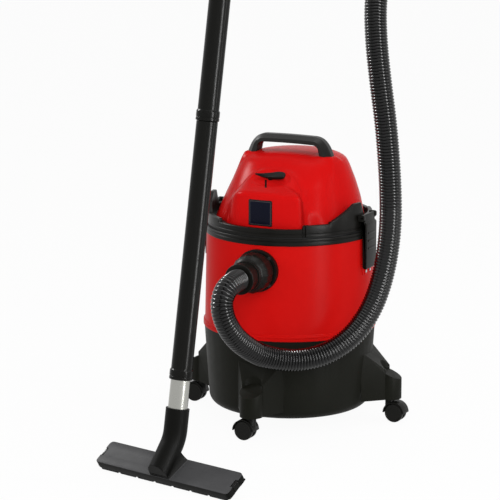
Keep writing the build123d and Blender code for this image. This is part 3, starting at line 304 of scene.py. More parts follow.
FINISHES = {
    "tank_red": Finish(
        "drum_red", (0.58, 0.006, 0.005), 0.34, 0.94, 0.04, specular=0.025, grain_depth=0.006
    ),
    "head_red": CoverFinish(
        "head_red", (0.58, 0.006, 0.006), 0.26, 0.94, 0.04, specular=0.018, grain_depth=0.006
    ),
    "pan_black": Finish(
        "pan_charcoal", (0.0082, 0.0085, 0.006), 0.5, 0.8, 0.06, specular=0.06, grain_depth=0.03
    ),
    "head_black": Finish("satin_black", (0.006, 0.0056, 0.0046), 0.34, 0.85, 0.06, specular=0.1),
    "handle_black": Finish("handle_black", (0.006, 0.0056, 0.0046), 0.4, 0.85, 0.06, specular=0.26),
    "badge_navy": BadgeFinish(
        "badge_face", (0.0025, 0.0032, 0.011), 0.25, specular=0.08, grain_depth=0.003
    ),
    "inner_plastic": Finish("inner_grey", (0.05, 0.05, 0.053), 0.55, specular=0.3),
    "bright_steel": Finish(
        "satin_aluminium", (0.37, 0.37, 0.345), 0.26, 0.92, 0.05, 1.0, grain=Grain.SPUN, grain_depth=0.012
    ),
    "zinc_steel": Finish("zinc_steel", (0.5, 0.51, 0.52), 0.4, metallic=1.0, grain_depth=0.01),
    "screw_black": Finish(
        "screw_black", (0.05, 0.05, 0.05), 0.45, metallic=0.6, specular=0.2, grain_depth=0.01
    ),
    "ground_steel": Finish(
        "ground_steel", (0.55, 0.55, 0.56), 0.3, metallic=1.0, grain=Grain.SPUN, grain_depth=0.01
    ),
    "wound_copper": Finish(
        "wound_copper", (0.55, 0.22, 0.1), 0.35, metallic=1.0, grain=Grain.WOUND, grain_depth=0.2
    ),
    "caster_black": Finish("caster_black", (0.006, 0.006, 0.005), 0.4, specular=0.1),
    "wheel_black": Finish("wheel_grey", (0.008, 0.008, 0.007), 0.45, specular=0.1),
    "axle_steel": Finish("axle_steel", (0.4, 0.4, 0.41), 0.4, metallic=1.0, grain_depth=0.01),
    "wand_black": Finish(
        "wand_black", (0.004, 0.004, 0.0034), 0.24, 0.85, 0.05, specular=0.1, grain_depth=0.015
    ),
    # Its top face's grey is partly painted light from above; its walls' black is partly painted shade.
    "nozzle_grey": PlateFinish(
        "nozzle_grey", (0.062, 0.062, 0.064), 0.46, 0.72, 0.06, specular=0.05, grain_depth=0.05
    ),
    "hose_black": Finish(
        "hose_black", (0.0015, 0.0015, 0.0015), 0.18, 0.85, 0.05, specular=0.3, grain_depth=0.01
    ),
    "seal_rubber": Finish("seal_rubber", (0.008, 0.008, 0.008), 0.7, specular=0.15, grain_depth=0.03),
    "float_white": Finish("float_white", (0.7, 0.7, 0.67), 0.4, 0.95),
    "filter_foam": Finish(
        "filter_foam",
        (0.035, 0.035, 0.036),
        0.9,
        specular=0.1,
        grain=Grain.FOAM,
        grain_size=2.2,
        grain_depth=0.9,
    ),
}


@lru_cache(maxsize=None)
def material(key: str) -> bpy.types.Material:
    """The material of a finish, made once."""
    return FINISHES[key].make()


@dataclass(frozen=True)
class Axes:
    """Local axes: an origin in millimetres and three unit directions."""

    origin: Point = (0, 0, 0)
    x: Point = (1, 0, 0)
    y: Point = (0, 1, 0)
    z: Point = (0, 0, 1)

    def place(self, points: Array) -> Array:
        """Local points to the shared frame: origin plus each coordinate times its direction."""
        return np.array(self.origin) + points @ np.array([self.x, self.y, self.z], float)


WORLD = Axes()


class Shell:
    """Gathers grids of points and makes them one mesh."""

    def __init__(self) -> None:
        """Start with no points."""
        self.points: list[Array] = []
        self.faces: list[list[int]] = []
        self.count = 0

    def grid(
        self,
        points: Array,
        axes: Axes = WORLD,
        ring: bool = False,
        ends: bool = False,
        drop: Array | None = None,
    ) -> "Shell":
        """Add a grid whose columns close on themselves.

        Args:
            points: rows by columns by 3, in millimetres in the given axes.
            axes: where the grid stands.
            ring: the last row joins the first, as round a tube's wall.
            ends: the first and last rows are closed by one face each.
            drop: rows - 1 by columns, true where a face is left out.

        Returns:
            This shell.
        """
        rows, columns = points.shape[:2]
        index = self.count + np.arange(rows * columns).reshape(rows, columns)
        low = index if ring else index[:-1]
        high = np.roll(index, -1, 0) if ring else index[1:]
        quads = np.stack([low, np.roll(low, -1, 1), np.roll(high, -1, 1), high], -1)
        quads = quads[~drop] if drop is not None else quads.reshape(-1, 4)
        self.faces += quads.tolist()
        if ends:
            self.faces += [index[0, ::-1].tolist(), index[-1].tolist()]
        self.points.append(axes.place(points.reshape(-1, 3)))
        self.count += rows * columns
        return self

    def make(self, name: str, smooth: float = 38) -> bpy.types.Object:
        """Weld the grids, point the faces outwards and link the object.

        Args:
            name: the piece's name.
            smooth: edges that turn by more degrees than this stay sharp.

        Returns:
            The new object.
        """
        mesh = bpy.data.meshes.new(name)
        mesh.from_pydata((np.concatenate(self.points) * MM).tolist(), [], self.faces)
        return finished_object(name, mesh, smooth)


def finished_object(name: str, mesh: bpy.types.Mesh, smooth: float) -> bpy.types.Object:
    """Merge doubles, recalculate normals, shade smooth up to an angle and link as an object."""
    work = bmesh.new()
    work.from_mesh(mesh)
    bmesh.ops.remove_doubles(work, verts=work.verts, dist=2e-6)
    bmesh.ops.dissolve_degenerate(work, edges=work.edges, dist=1e-6)
    bmesh.ops.recalc_face_normals(work, faces=work.faces)
    work.to_mesh(mesh)
    work.free()
    mesh.polygons.foreach_set("use_smooth", np.ones(len(mesh.polygons), bool))
    mesh.set_sharp_from_angle(angle=math.radians(smooth))
    made = bpy.data.objects.new(name, mesh)
    bpy.context.scene.collection.objects.link(made)
    return made


def dress(
    piece: bpy.types.Object,
    body: str,
    slot: str,
    replaced: Sequence[str] = (),
    finish: str | None = None,
) -> bpy.types.Object:
    """Give a piece its finish and its body.

    Args:
        piece: the object.
        body: the body it rides on.
        slot: the record's material slot.
        replaced: nodes that it stands for.
        finish: key of the finish, when it isn't the slot's own.

    Returns:
        The same object.
    """
    piece.data.materials.clear()
    piece.data.materials.append(material(finish or slot))
    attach(piece, body)
    if replaced:
        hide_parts(*replaced)
    log.info("piece %s on %s, %d faces", piece.name, body, len(piece.data.polygons))
    return piece


def rounded(points: Sequence[Sequence[float]], cut: float | Sequence[float], steps: int = 5) -> Array:
    """Closed outline with rounded corners.

    Each corner is cut back along both sides, by at most 0.48 of a side, and a quadratic curve
    joins the two cuts with the corner as its handle.

    Args:
        points: corners in order, in two or three dimensions.
        cut: how far each corner is cut back.
        steps: spans of each curve.

    Returns:
        Points of the rounded outline.
    """
    corner = np.array(points, float)
    before = np.roll(corner, 1, 0) - corner
    after = np.roll(corner, -1, 0) - corner
    size = np.broadcast_to(np.array(cut, float), len(corner))[:, None]
    back_length = np.linalg.norm(before, axis=1, keepdims=True)
    on_length = np.linalg.norm(after, axis=1, keepdims=True)
    start = corner + before * np.minimum(size / back_length, 0.48)
    stop = corner + after * np.minimum(size / on_length, 0.48)
    t = np.linspace(0, 1, steps + 1)[None, :, None]
    curve = (1 - t) ** 2 * start[:, None] + 2 * t * (1 - t) * corner[:, None] + t**2 * stop[:, None]
    return curve.reshape(-1, corner.shape[1])


def turned(profile: Array, segments: int = 96) -> Array:
    """Grid of a profile of (radius, height) points turned once round the local Z axis."""
    angle = np.linspace(0, TAU, segments, endpoint=False)
    radius, height = profile[:, :1], profile[:, 1:]
    return np.stack([radius * np.cos(angle), radius * np.sin(angle), height + 0 * angle], -1)


def outward(outline: Array) -> Array:
    """Unit normals of a closed flat outline that runs anticlockwise: its step turned by a quarter."""
    step = np.roll(outline, -1, 0) - np.roll(outline, 1, 0)
    length = np.maximum(np.linalg.norm(step, axis=1, keepdims=True), 1e-9)
    return np.stack([step[:, 1], -step[:, 0]], 1) / length


def slab(outline: Array, low: float, high: float, edge: float, steps: int = 4) -> Array:
    """Plate on a flat outline with rounded edges.

    Rows of the outline are drawn in along its normals by edge times (1 - cos) while they move by
    edge times sin, a quarter turn at the bottom and another at the top.

    Args:
        outline: closed anticlockwise outline in local X and Y.
        low: bottom height.
        high: top height.
        edge: edge radius.
        steps: spans of each quarter turn.

    Returns:
        The grid; its two end rows are the flat faces' rims.
    """
    turn = np.linspace(0, math.pi / 2, steps + 1)
    inset = np.concatenate([edge * (1 - np.sin(turn)), edge * (1 - np.cos(turn))])
    height = np.concatenate([low + edge * (1 - np.cos(turn)), high - edge * (1 - np.sin(turn))])
    flat = outline[None] - outward(outline)[None] * inset[:, None, None]
    return np.concatenate([flat, np.broadcast_to(height[:, None, None], (*flat.shape[:2], 1))], -1)


def carried(section: Array, path: Array, over: Sequence[float]) -> Array:
    """A closed section carried along a path.

    At each path point the section's X runs along tangent cross over and its Y along what is left
    of over, so that the section never twists.

    Args:
        section: columns by 2, or rows by columns by 2.
        path: rows by 3.
        over: direction that the section's Y keeps to; never along the path.

    Returns:
        The grid of points.
    """
    ahead = np.gradient(path, axis=0)
    ahead /= np.linalg.norm(ahead, axis=1, keepdims=True)
    side = np.cross(ahead, np.array(over, float))
    side /= np.linalg.norm(side, axis=1, keepdims=True)
    top = np.cross(side, ahead)
    return path[:, None] + section[..., :1] * side[:, None] + section[..., 1:] * top[:, None]


def circle(radius: float = 1.0, segments: int = 48) -> Array:
    """Points of a circle, anticlockwise."""
    angle = np.linspace(0, TAU, segments, endpoint=False)
    return radius * np.stack([np.cos(angle), np.sin(angle)], 1)


def box_outline(left: float, low: float, right: float, high: float, cut: float, steps: int = 5) -> Array:
    """Rounded rectangle, anticlockwise."""
    return rounded([(left, low), (right, low), (right, high), (left, high)], cut, steps)


def lathe(
    name: str,
    corners: Sequence[Sequence[float]],
    cuts: Sequence[float],
    axes: Axes = WORLD,
    segments: int = 96,
) -> bpy.types.Object:
    """A piece turned from a closed profile with rounded corners.

    Args:
        name: the piece's name.
        corners: (radius, height) corners of the profile.
        cuts: how far each corner is cut back.
        axes: where the piece stands; it is turned round their Z.
        segments: spans round the turn.

    Returns:
        The new object.
    """
    return Shell().grid(turned(rounded(corners, cuts), segments), axes, ring=True).make(name)


def softened(node: str, name: str, width: float, segments: int = 3) -> bpy.types.Object:
    """A copy of a node's mesh, merged, with its sharp edges rounded.

    Args:
        node: the node to copy.
        name: the new piece's name.
        width: edge width in millimetres.
        segments: spans across each edge.

    Returns:
        The new object.
    """
    mesh = frame["nodes"][node].data.copy()
    work = bmesh.new()
    work.from_mesh(mesh)
    bmesh.ops.remove_doubles(work, verts=work.verts, dist=5e-6)
    bmesh.ops.dissolve_limit(work, angle_limit=math.radians(1.5), verts=work.verts, edges=work.edges)
    work.to_mesh(mesh)
    work.free()
    mesh.polygons.foreach_set("use_smooth", np.ones(len(mesh.polygons), bool))
    made = bpy.data.objects.new(name, mesh)
    bpy.context.scene.collection.objects.link(made)
    bevel = made.modifiers.new("edges", "BEVEL")
    bevel.width = width * MM
    bevel.segments = segments
    bevel.limit_method = "ANGLE"
    bevel.angle_limit = math.radians(32)
    bevel.harden_normals = True
    return made


def smooth_larger(first: Array, second: Array, width: float) -> Array:
    """Larger of two fields, with a parabola over the width where they cross."""
    near = np.maximum(width - np.abs(first - second), 0) / width
    return np.maximum(first, second) + near**2 * width / 4


def smooth_smaller(first: Array, second: Array, width: float) -> Array:
    """Smaller of two fields, with a parabola over the width where they cross."""
    return -smooth_larger(-first, -second, width)


def ease(value: Array, low: float, high: float) -> Array:
    """Smooth step from 0 at low to 1 at high."""
    t = np.clip((value - low) / (high - low), 0, 1)
    return t * t * (3 - 2 * t)


@dataclass
class Tank:
    """Drum, rim ring and base pan."""

    drum_low: float = 182
    drum_high: float = 362
    drum_r_foot: float = 162
    drum_r_top: float = 158.5
    wall: float = 2.2
    bead_out: float = 3
    bead_height: float = 10.5
    rim_r: float = 160
    rim_high: float = 376
    pad_x: float = 160.36
    pad_half: float = 20
    pad_low: float = 291
    pad_high: float = 328
    segments: int = 192

    def drum(self) -> bpy.types.Object:
        """Turned wall with a double bead at the foot, and a flat pad under each latch."""
        bead_r = self.drum_r_foot + self.bead_out
        top = self.drum_low + self.bead_height
        groove = self.drum_low + 0.52 * self.bead_height
        corners = [
            (self.drum_r_foot - self.wall, self.drum_low),
            (bead_r, self.drum_low),
            (bead_r, groove - 0.7),
            (bead_r - 1.3, groove),
            (bead_r, groove + 0.7),
            (bead_r - 0.4, top),
            (self.drum_r_foot, top + 0.8),
            (self.drum_r_top, self.drum_high),
            (self.drum_r_top - self.wall, self.drum_high),
            (self.drum_r_foot - self.wall, top),
        ]
        cuts = [0, 1.4, 0.6, 0.6, 0.6, 1.6, 1.6, 0.6, 0.6, 0.6]
        shell = Shell().grid(turned(rounded(corners, cuts), self.segments), ring=True)
        pad = box_outline(-self.pad_half, self.pad_low, self.pad_half, self.pad_high, 7)
        plate = slab(pad, self.drum_r_top - self.wall, self.pad_x, 0.6)
        shell.grid(plate, Axes(x=(0, 1, 0), y=(0, 0, 1), z=(1, 0, 0)), ends=True)
        shell.grid(plate, Axes(x=(0, -1, 0), y=(0, 0, 1), z=(-1, 0, 0)), ends=True)
        return dress(shell.make("drum_wall"), "tank", "tank_red", ["drum"])

    def rim(self) -> bpy.types.Object:
        """Turned ring with a groove round its outside and a skirt inside the drum."""
        out, low, high = self.rim_r, self.drum_high, self.rim_high
        skirt = self.drum_r_top - self.wall - 0.1
        corners = [
            (out - 10, high),
            (out, high),
            (out, high - 4.6),
            (out - 1.1, high - 5.2),
            (out - 1.1, high - 6.2),
            (out, high - 6.8),
            (out, low),
            (skirt, low),
            (skirt, low - 8),
            (skirt - self.wall, low - 8),
            (out - 10, low + 8),
        ]
        cuts = [1.5, 1.8, 0.5, 0.4, 0.4, 0.5, 1.2, 0.3, 0.5, 0.5, 1]
        ring = lathe("rim", corners, cuts, segments=self.segments)
        return dress(ring, "tank", "pan_black", ["rim_ring"], "head_black")

    def pan(self) -> bpy.types.Object:
        """The pan with its four lugs, edges rounded as moulded."""
        return dress(softened("base_pan", "pan", 1.6), "tank", "pan_black", ["base_pan"])

    def build(self) -> None:
        """Make the tank's pieces."""
        self.drum()
        self.rim()
        self.pan()


@dataclass
class Inlet:
    """Port flange, ribbed hose connector and the cuff on the hose's end."""

    turn: float = 3
    height: float = 315
    start: float = 168
    spigot: float = 12
    spigot_r: float = 31.1
    spigot_bore_r: float = 27.1
    connector_r: float = 36
    cone_start: float = 198
    nose_start: float = 208
    nose_end: float = 218
    cuff_end: float = 248
    nose_r: float = 28.6
    bore_r: float = 17
    ribs: int = 18
    rib_rise: float = 1.0
    segments: int = 288

    def axes(self) -> Axes:
        """Axes of the inlet: Z along it, turned a few degrees from the front."""
        turn = math.radians(self.turn)
        across = (math.cos(turn), math.sin(turn), 0)
        ahead = (math.sin(turn), -math.cos(turn), 0)
        return Axes((0, 0, self.height), across, (0, 0, 1), ahead)

    def connector(self) -> bpy.types.Object:
        """Turned cup whose radius swells by a rounded rib, (0.5 + 0.5 cos)^4 round the turn."""
        corners = [
            (self.spigot_r, self.start),
            (self.connector_r - 1, self.start),
            (self.connector_r, self.start + 3),
            (self.connector_r, self.cone_start),
            (self.nose_r + 2, self.nose_start),
            (self.nose_r, self.nose_start + 1.5),
            (self.nose_r, self.nose_start + 4.2),
            (self.nose_r - 1.2, self.nose_start + 5),
            (self.nose_r, self.nose_start + 5.8),
            (self.nose_r, self.nose_end),
            (self.bore_r, self.nose_end),
            (self.bore_r, self.start + 2),
            (self.spigot_bore_r, self.start - self.spigot),
            (self.spigot_r, self.start - self.spigot),
        ]
        profile = rounded(corners, [0.6, 1, 2, 5, 3, 1, 0.4, 0.4, 0.4, 1, 0.5, 0.5, 0.5, 0.5], 6)
        points = turned(profile, self.segments)
        angle = np.linspace(0, TAU, self.segments, endpoint=False)
        rib = (0.5 + 0.5 * np.cos(self.ribs * angle)) ** 4
        outer = profile[:, 0] > self.nose_r + 1.5
        along = ease(profile[:, 1], self.start + 1, self.start + 5)
        along = along * (1 - ease(profile[:, 1], self.cone_start + 1, self.nose_start - 1)) * outer
        swell = 1 + self.rib_rise * along[:, None] * rib[None] / self.connector_r
        points[..., :2] *= swell[..., None]
        shell = Shell().grid(points, self.axes(), ring=True)
        return dress(shell.make("connector"), "tank", "pan_black", ["hose_connector"], "head_black")

    def cuff(self) -> bpy.types.Object:
        """Turned sleeve with a lip at the hose's end."""
        lip_r = self.nose_r - 0.1
        sleeve_r = self.nose_r - 1.9
        corners = [
            (self.bore_r, self.nose_end),
            (sleeve_r, self.nose_end),
            (sleeve_r, self.cuff_end - 5.5),
            (lip_r, self.cuff_end - 5),
            (lip_r, self.cuff_end),
            (self.bore_r, self.cuff_end),
        ]
        cuff = lathe("tank_cuff", corners, [0.3, 1, 0.6, 1, 1.6, 1], self.axes())
        return dress(cuff, "tank", "hose_black", ["hose_cuff"], "head_black")

    def build(self) -> None:
        """Make the inlet's pieces."""
        dress(softened("inlet_port", "port", 1.4), "tank", "pan_black", ["inlet_port"], "head_black")
        self.connector()
        self.cuff()


@dataclass
class Hose:
    """Ribbed suction hose from the tank's cuff, over an arch, to the grip's cuff."""

    radius: float = 21
    groove: float = 2.1
    pitch: float = 5.6
    crest_power: float = 0.8
    wall: float = 4
    spacing: float = 0.8
    inner_step: int = 6
    columns: int = 32
    length: float = 1.77
    route: tuple[Point, ...] = (
        (0.01298, -0.24766, 0.315),
        (0.01486, -0.28361, 0.315),
        (0.0115, -0.307, 0.302),
        (0.011, -0.3155, 0.276),
        (0.018, -0.309, 0.244),
        (0.027, -0.287, 0.214),
        (0.038, -0.259, 0.191),
        (0.056, -0.227, 0.1695),
        (0.099, -0.189, 0.158),
        (0.143, -0.156, 0.166),
        (0.181, -0.127, 0.194),
        (0.210, -0.106, 0.239),
        (0.229, -0.092, 0.297),
        (0.241, -0.084, 0.375),
        (0.242, -0.081, 0.455),
        (0.232, -0.081, 0.580),
        (0.215, -0.074, 0.670),
        (0.199, -0.059, 0.745),
        (0.188, -0.038, 0.815),
        (0.188, -0.006, 0.890),
        (0.192, 0.026, 0.965),
        (0.196, 0.052, 1.045),
        (0.192, 0.058, 1.128),
        (0.174, 0.034, 1.204),
        (0.144, -0.022, 1.258),
        (0.115, -0.097, 1.285),
        (0.08931, -0.17664, 1.27606),
        (0.07555, -0.22986, 1.24329),
    )

    def line(self) -> Array:
        """Points of the route's smooth spline, as Blender gives them for a curve with no bevel."""
        curve = bpy.data.curves.new("hose_route", "CURVE")
        curve.dimensions = "3D"
        spline = curve.splines.new("NURBS")
        spline.points.add(len(self.route) - 1)
        places = np.column_stack([np.array(self.route), np.ones(len(self.route))])
        spline.points.foreach_set("co", places.ravel())
        spline.order_u = 3
        spline.use_endpoint_u = True
        spline.resolution_u = 48
        holder = bpy.data.objects.new("hose_route", curve)
        bpy.context.scene.collection.objects.link(holder)
        mesh = bpy.data.meshes.new_from_object(holder)
        points = np.empty(3 * len(mesh.vertices))
        mesh.vertices.foreach_get("co", points)
        bpy.data.objects.remove(holder)
        bpy.data.curves.remove(curve)
        bpy.data.meshes.remove(mesh)
        return points.reshape(-1, 3)

    def build(self) -> None:
        """Carry a circle along the spline.

        The radius falls from the crests by the groove's depth times 1 - |sin| to the crest power,
        where the sine is that of pi times the length over the rib pitch.
        """
        line = self.line()
        run = np.concatenate([[0], np.cumsum(np.linalg.norm(np.diff(line, axis=0), axis=1))])
        at = np.linspace(0, run[-1], int(run[-1] / (self.spacing * MM)))
        path = np.stack([np.interp(at, run, line[:, i]) for i in range(3)], 1) / MM
        crest = np.abs(np.sin(math.pi * at / (self.pitch * MM))) ** self.crest_power
        radius = self.radius - self.groove * (1 - crest)
        points = carried(radius[:, None, None] * circle(1, self.columns), path, (1, 0, 0))
        bore = circle(self.radius - self.wall, self.columns)
        inner = carried(bore, path[:: self.inner_step], (1, 0, 0))
        shell = Shell().grid(points).grid(inner[::-1])
        for end in (0, -1):
            shell.grid(np.stack([points[end], inner[end]]))
        hose = shell.make("hose", 60)
        dress(hose, "tank", "hose_black", ["suction_hose"])


@dataclass
class Head:
    """Cover, band with ears, badge and blower outlet."""

    band_r: float = 156
    band_inner: float = 148
    band_low: float = 376.4
    band_high: float = 400
    band_front: float = 393
    front_half: float = 86
    ear_line: tuple[tuple[float, float], ...] = ((-92, 403), (-38, 431), (-18, 431), (-4, 403), (92, 403))
    floor_low: float = 386
    floor_high: float = 390
    skirt_low: float = 366
    skirt_r: float = 149.5
    skirt_wall: float = 3
    centre_hole: float = 15
    groove: float = 0.9
    edge: float = 1.4
    slit_x: float = 89
    slit_half: float = 1.8
    slit_deep: float = 2.5
    knuckles: tuple[float, ...] = (24, -30)
    knuckle_wide: float = 6
    rings: tuple[Point, ...] = (
        (390, 141, 2),
        (427, 129.5, 12),
        (458, 117, 18),
        (489, 104, 20),
        (500, 98, 20),
        (507, 85, 20),
        (512, 64, 20),
        (515, 38, 20),
        (516.2, 0, 20),
    )
    ring_cuts: tuple[float, ...] = (0, 14, 14, 8, 6, 8, 9, 10, 0, 0)
    tuck: float = 6
    console_half: float = 84
    console_front: float = -136
    console_back: float = -56
    console_bow: float = 13
    neck_half: float = 72
    side_start: float = -123
    side_run: float = 93
    side_rise: float = 58
    right_draw: float = 3
    left_draw: float = 11
    swell: float = 11
    swell_start: float = -95
    swell_run: float = 41
    pad_x: float = 77
    pad_half: float = 15
    pad_high: float = 510
    slope_point: Point = (0, -85, 478)
    slope_angle: float = 35
    vents: tuple[float, ...] = (48, 56, 64, 72, 108, 116)
    vent_low: float = 446
    vent_high: float = 474
    vent_half: float = 0.95
    dish: tuple[float, float] = (43, 24)
    dish_deep: float = 2.2
    eye_y: float = 8
    eye_z: float = 440
    reach: float = 230
    columns: int = 420
    wall: float = 2.6
    badge_box: tuple[float, float, float, float] = (-21.5, 394, 26.5, 443)
    badge_back: float = 134.5
    badge_front: float = 136.5
    outlet_z: float = 430
    outlet_hole: float = 20.3

    def slope(self) -> Axes:
        """Axes of the slanted face: X across, Y up the slope, Z out of it."""
        turn = math.radians(self.slope_angle)
        along, rise = math.cos(turn), math.sin(turn)
        return Axes(self.slope_point, (1, 0, 0), (0, along, rise), (0, -rise, along))

    def field(self, points: Array) -> Array:
        """Distance-like field of the cover, below zero inside.

        The dome is a circle whose radius and centre follow the height; the console is bounded by
        two leaning sides and a bowed front. Each is cut by the slanted face, which swells towards the
        front: the console crisply, the dome softly. The two are then joined softly, with a rounded pad
        under each foot of the handle.
        """
        x, y, z = np.moveaxis(points, -1, 0)
        steps = 8
        corners = [(radius, height) for height, radius, _ in self.rings] + [(-60, 520)]
        table = rounded(corners, self.ring_cuts, steps)[: -steps - 1]
        radius = np.interp(z, table[:, 1], table[:, 0])
        radius = np.where(z > self.rings[-1][0], -4 * (z - self.rings[-1][0]), radius)
        back = np.interp(z, [ring[0] for ring in self.rings], [ring[2] for ring in self.rings])
        dome = np.hypot(x, y - back) - radius
        dome = dome + self.tuck * ease(-y, 80, 110) * (1 - ease(z, 405, 425))
        lean = (self.console_half - self.neck_half) / self.side_run * (y - self.side_start)
        lift = np.clip((z - self.band_front) / self.side_rise, 0, 1.6)
        right = x - self.console_half + lean + self.right_draw * lift
        left = -x - self.console_half + lean + self.left_draw * lift
        bow = (x / self.console_half) ** 2
        front = self.console_front + self.console_bow * bow - y
        forward = np.clip((self.swell_start - y) / self.swell_run, 0, 1) ** 1.5
        swell = self.swell * forward * np.clip(1 - bow, 0, 1)
        slope = (points - np.array(self.slope_point)) @ np.array(self.slope().z) - swell
        console = smooth_larger(smooth_larger(front, slope, 6), y - self.console_back, 24)
        console = smooth_larger(console, right, 14 + 46 * ease(y, -122, -96))
        console = smooth_larger(console, left, 42)
        dome = smooth_larger(dome, slope, 42)
        across = np.abs(np.abs(x) - self.pad_x) - self.pad_half
        pad = smooth_larger(across, np.abs(y) - self.pad_half, 6)
        dome = smooth_smaller(dome, smooth_larger(pad, z - self.pad_high, 6), 14)
        return smooth_smaller(dome, console, 5 + 14 * ease(np.abs(x), 60, 80))

    def cover(self) -> bpy.types.Object:
        """Surface of the field met by rays from inside: level rays low down, then rising to straight up.

        The meeting point is found on all rays at once by halving. A shallow oval dish is then pressed
        into the slanted face round the switch, and faces in the vents and the outlet's hole are left out.
        """
        half = TAU / 2
        even = np.linspace(-half, half, self.columns, endpoint=False)
        angle = even - 0.35 * np.sin(even) - half / 2
        low = np.linspace(self.floor_high, self.eye_z, 30)
        rise = np.linspace(0, half / 2, 74)[1:]
        start = np.concatenate([low, np.full(len(rise), float(self.eye_z))])
        tilt = np.concatenate([np.zeros(len(low)), rise])
        ahead = np.stack(
            [
                np.cos(tilt)[:, None] * np.cos(angle),
                np.cos(tilt)[:, None] * np.sin(angle),
                np.sin(tilt)[:, None] + 0 * angle,
            ],
            -1,
        )
        origin = np.zeros_like(ahead)
        origin[..., 1] = self.eye_y
        origin[..., 2] = start[:, None]
        near, far = np.zeros(ahead.shape[:2]), np.full(ahead.shape[:2], float(self.reach))
        for _ in range(40):
            middle = (near + far) / 2
            inside = self.field(origin + ahead * middle[..., None]) < 0
            near, far = np.where(inside, middle, near), np.where(inside, far, middle)
        points = origin + ahead * near[..., None]
        face = self.slope()
        local = (points - np.array(face.origin)) @ np.array([face.x, face.y, face.z]).T
        oval = np.hypot(local[..., 0] / self.dish[0], (local[..., 1] + 2) / self.dish[1])
        depth = self.dish_deep * (1 - ease(oval, 0.78, 1.0)) * (np.abs(local[..., 2]) < 3)
        points -= depth[..., None] * np.array(face.z)
        centre = (points[:-1] + np.roll(points, -1, 1)[1:]) / 2
        away = np.hypot(centre[..., 0], centre[..., 2] - self.outlet_z)
        drop = (away < self.outlet_hole) & (centre[..., 1] > 60)
        turn = np.degrees(np.arctan2(centre[..., 1], centre[..., 0]))
        upright = (centre[..., 2] > self.vent_low) & (centre[..., 2] < self.vent_high)
        for vent in self.vents:
            drop |= upright & (np.abs(turn - vent) < self.vent_half)
        cover = Shell().grid(points, drop=drop).make("cover", 55)
        wall = cover.modifiers.new("wall", "SOLIDIFY")
        wall.thickness = self.wall * MM
        wall.offset = -1
        return dress(cover, "head", "head_red", ["head_cover"])

    def band(self) -> bpy.types.Object:
        """Turned band with a groove, one slit in front and two knuckles a side.

        Its top edge follows a height: low in front, raised in ears at the latches.
        """
        angle = np.linspace(0, TAU, 540, endpoint=False)
        x, y = self.band_r * np.cos(angle), self.band_r * np.sin(angle)
        line_y, line_z = np.array(self.ear_line).T
        top = np.where(np.abs(y) < line_y[-1], np.interp(y, line_y, line_z), self.band_high)
        top = np.where((np.abs(x) < self.front_half) & (y < 0), self.band_front, top)
        out, inner, edge = self.band_r, self.band_inner, self.edge
        low = rounded(
            [
                (self.centre_hole, self.floor_high),
                (self.centre_hole, self.floor_low),
                (self.skirt_r - self.skirt_wall, self.floor_low),
                (self.skirt_r - self.skirt_wall, self.skirt_low),
                (self.skirt_r, self.skirt_low),
                (self.skirt_r, self.band_low),
                (out, self.band_low),
                (out, self.band_low + 6),
                (out - self.groove, self.band_low + 6.5),
                (out - self.groove, self.band_low + 8),
                (out, self.band_low + 8.5),
                (out, self.band_low + 14),
            ],
            [0, 1, 1, 1, 1, 0.3, 1.6, 0.4, 0.4, 0.4, 0.4, 0],
        )
        lower = turned(low, len(angle))
        turn = np.linspace(0, math.pi / 2, 5)
        over, under = edge * (1 - np.cos(turn)), edge * (1 - np.sin(turn))
        radius = np.concatenate([out - over, inner + under, [inner]])
        drop = np.concatenate([under, over])
        height = np.concatenate([top[None] - drop[:, None], np.full((1, len(angle)), self.floor_high)])
        upper = np.stack([radius[:, None] * np.cos(angle), radius[:, None] * np.sin(angle), height], -1)
        rows = np.concatenate([lower, upper])
        slit = (np.abs(rows[..., 0] - self.slit_x) < self.slit_half) & (rows[..., 1] < 0)
        slit &= rows[..., 2] > self.band_low + 1
        rows[..., :2] *= np.where(slit, 1 - self.slit_deep / out, 1)[..., None]
        shell = Shell().grid(rows, ring=True)
        corners = [(153, 396), (163, 396), (166.5, 400), (166.5, 409), (153, 409)]
        knuckle = rounded(corners, [0.5, 1.5, 2, 5, 0.5])
        axes = Axes(x=(1, 0, 0), y=(0, 0, 1), z=(0, 1, 0))
        for _, side in SIDES:
            outline = knuckle * np.array([side, 1])
            for start in self.knuckles:
                block = slab(outline[::side], start, start + self.knuckle_wide, 0.8)
                shell.grid(block, axes, ends=True)
        return dress(shell.make("band"), "head", "pan_black", ["head_base"], "head_black")

    def badge(self) -> bpy.types.Object:
        """Bare plate with rounded corners."""
        outline = box_outline(*self.badge_box, 3)
        axes = Axes(x=(1, 0, 0), y=(0, 0, 1), z=(0, -1, 0))
        shell = Shell().grid(slab(outline, self.badge_back, self.badge_front, 0.7), axes, ends=True)
        return dress(shell.make("badge"), "head", "badge_navy", ["badge_plate"])

    def outlet(self) -> bpy.types.Object:
        """Turned spout with a flange on the cover's back."""
        corners = [
            (18.2, 120),
            (22, 120),
            (22, 138),
            (28, 139),
            (28, 147),
            (22.6, 148.5),
            (22, 162),
            (21.4, 163),
            (18.2, 163),
        ]
        cuts = [0.3, 0.3, 0.5, 0.5, 2, 1.2, 0.8, 0.6, 0.8]
        axes = Axes((0, 0, self.outlet_z), (-1, 0, 0), (0, 0, 1), (0, 1, 0))
        return dress(lathe("blower_spout", corners, cuts, axes), "head", "head_black", ["blower_outlet"])

    def build(self) -> None:
        """Make the head's pieces."""
        self.cover()
        self.band()
        self.badge()
        self.outlet()


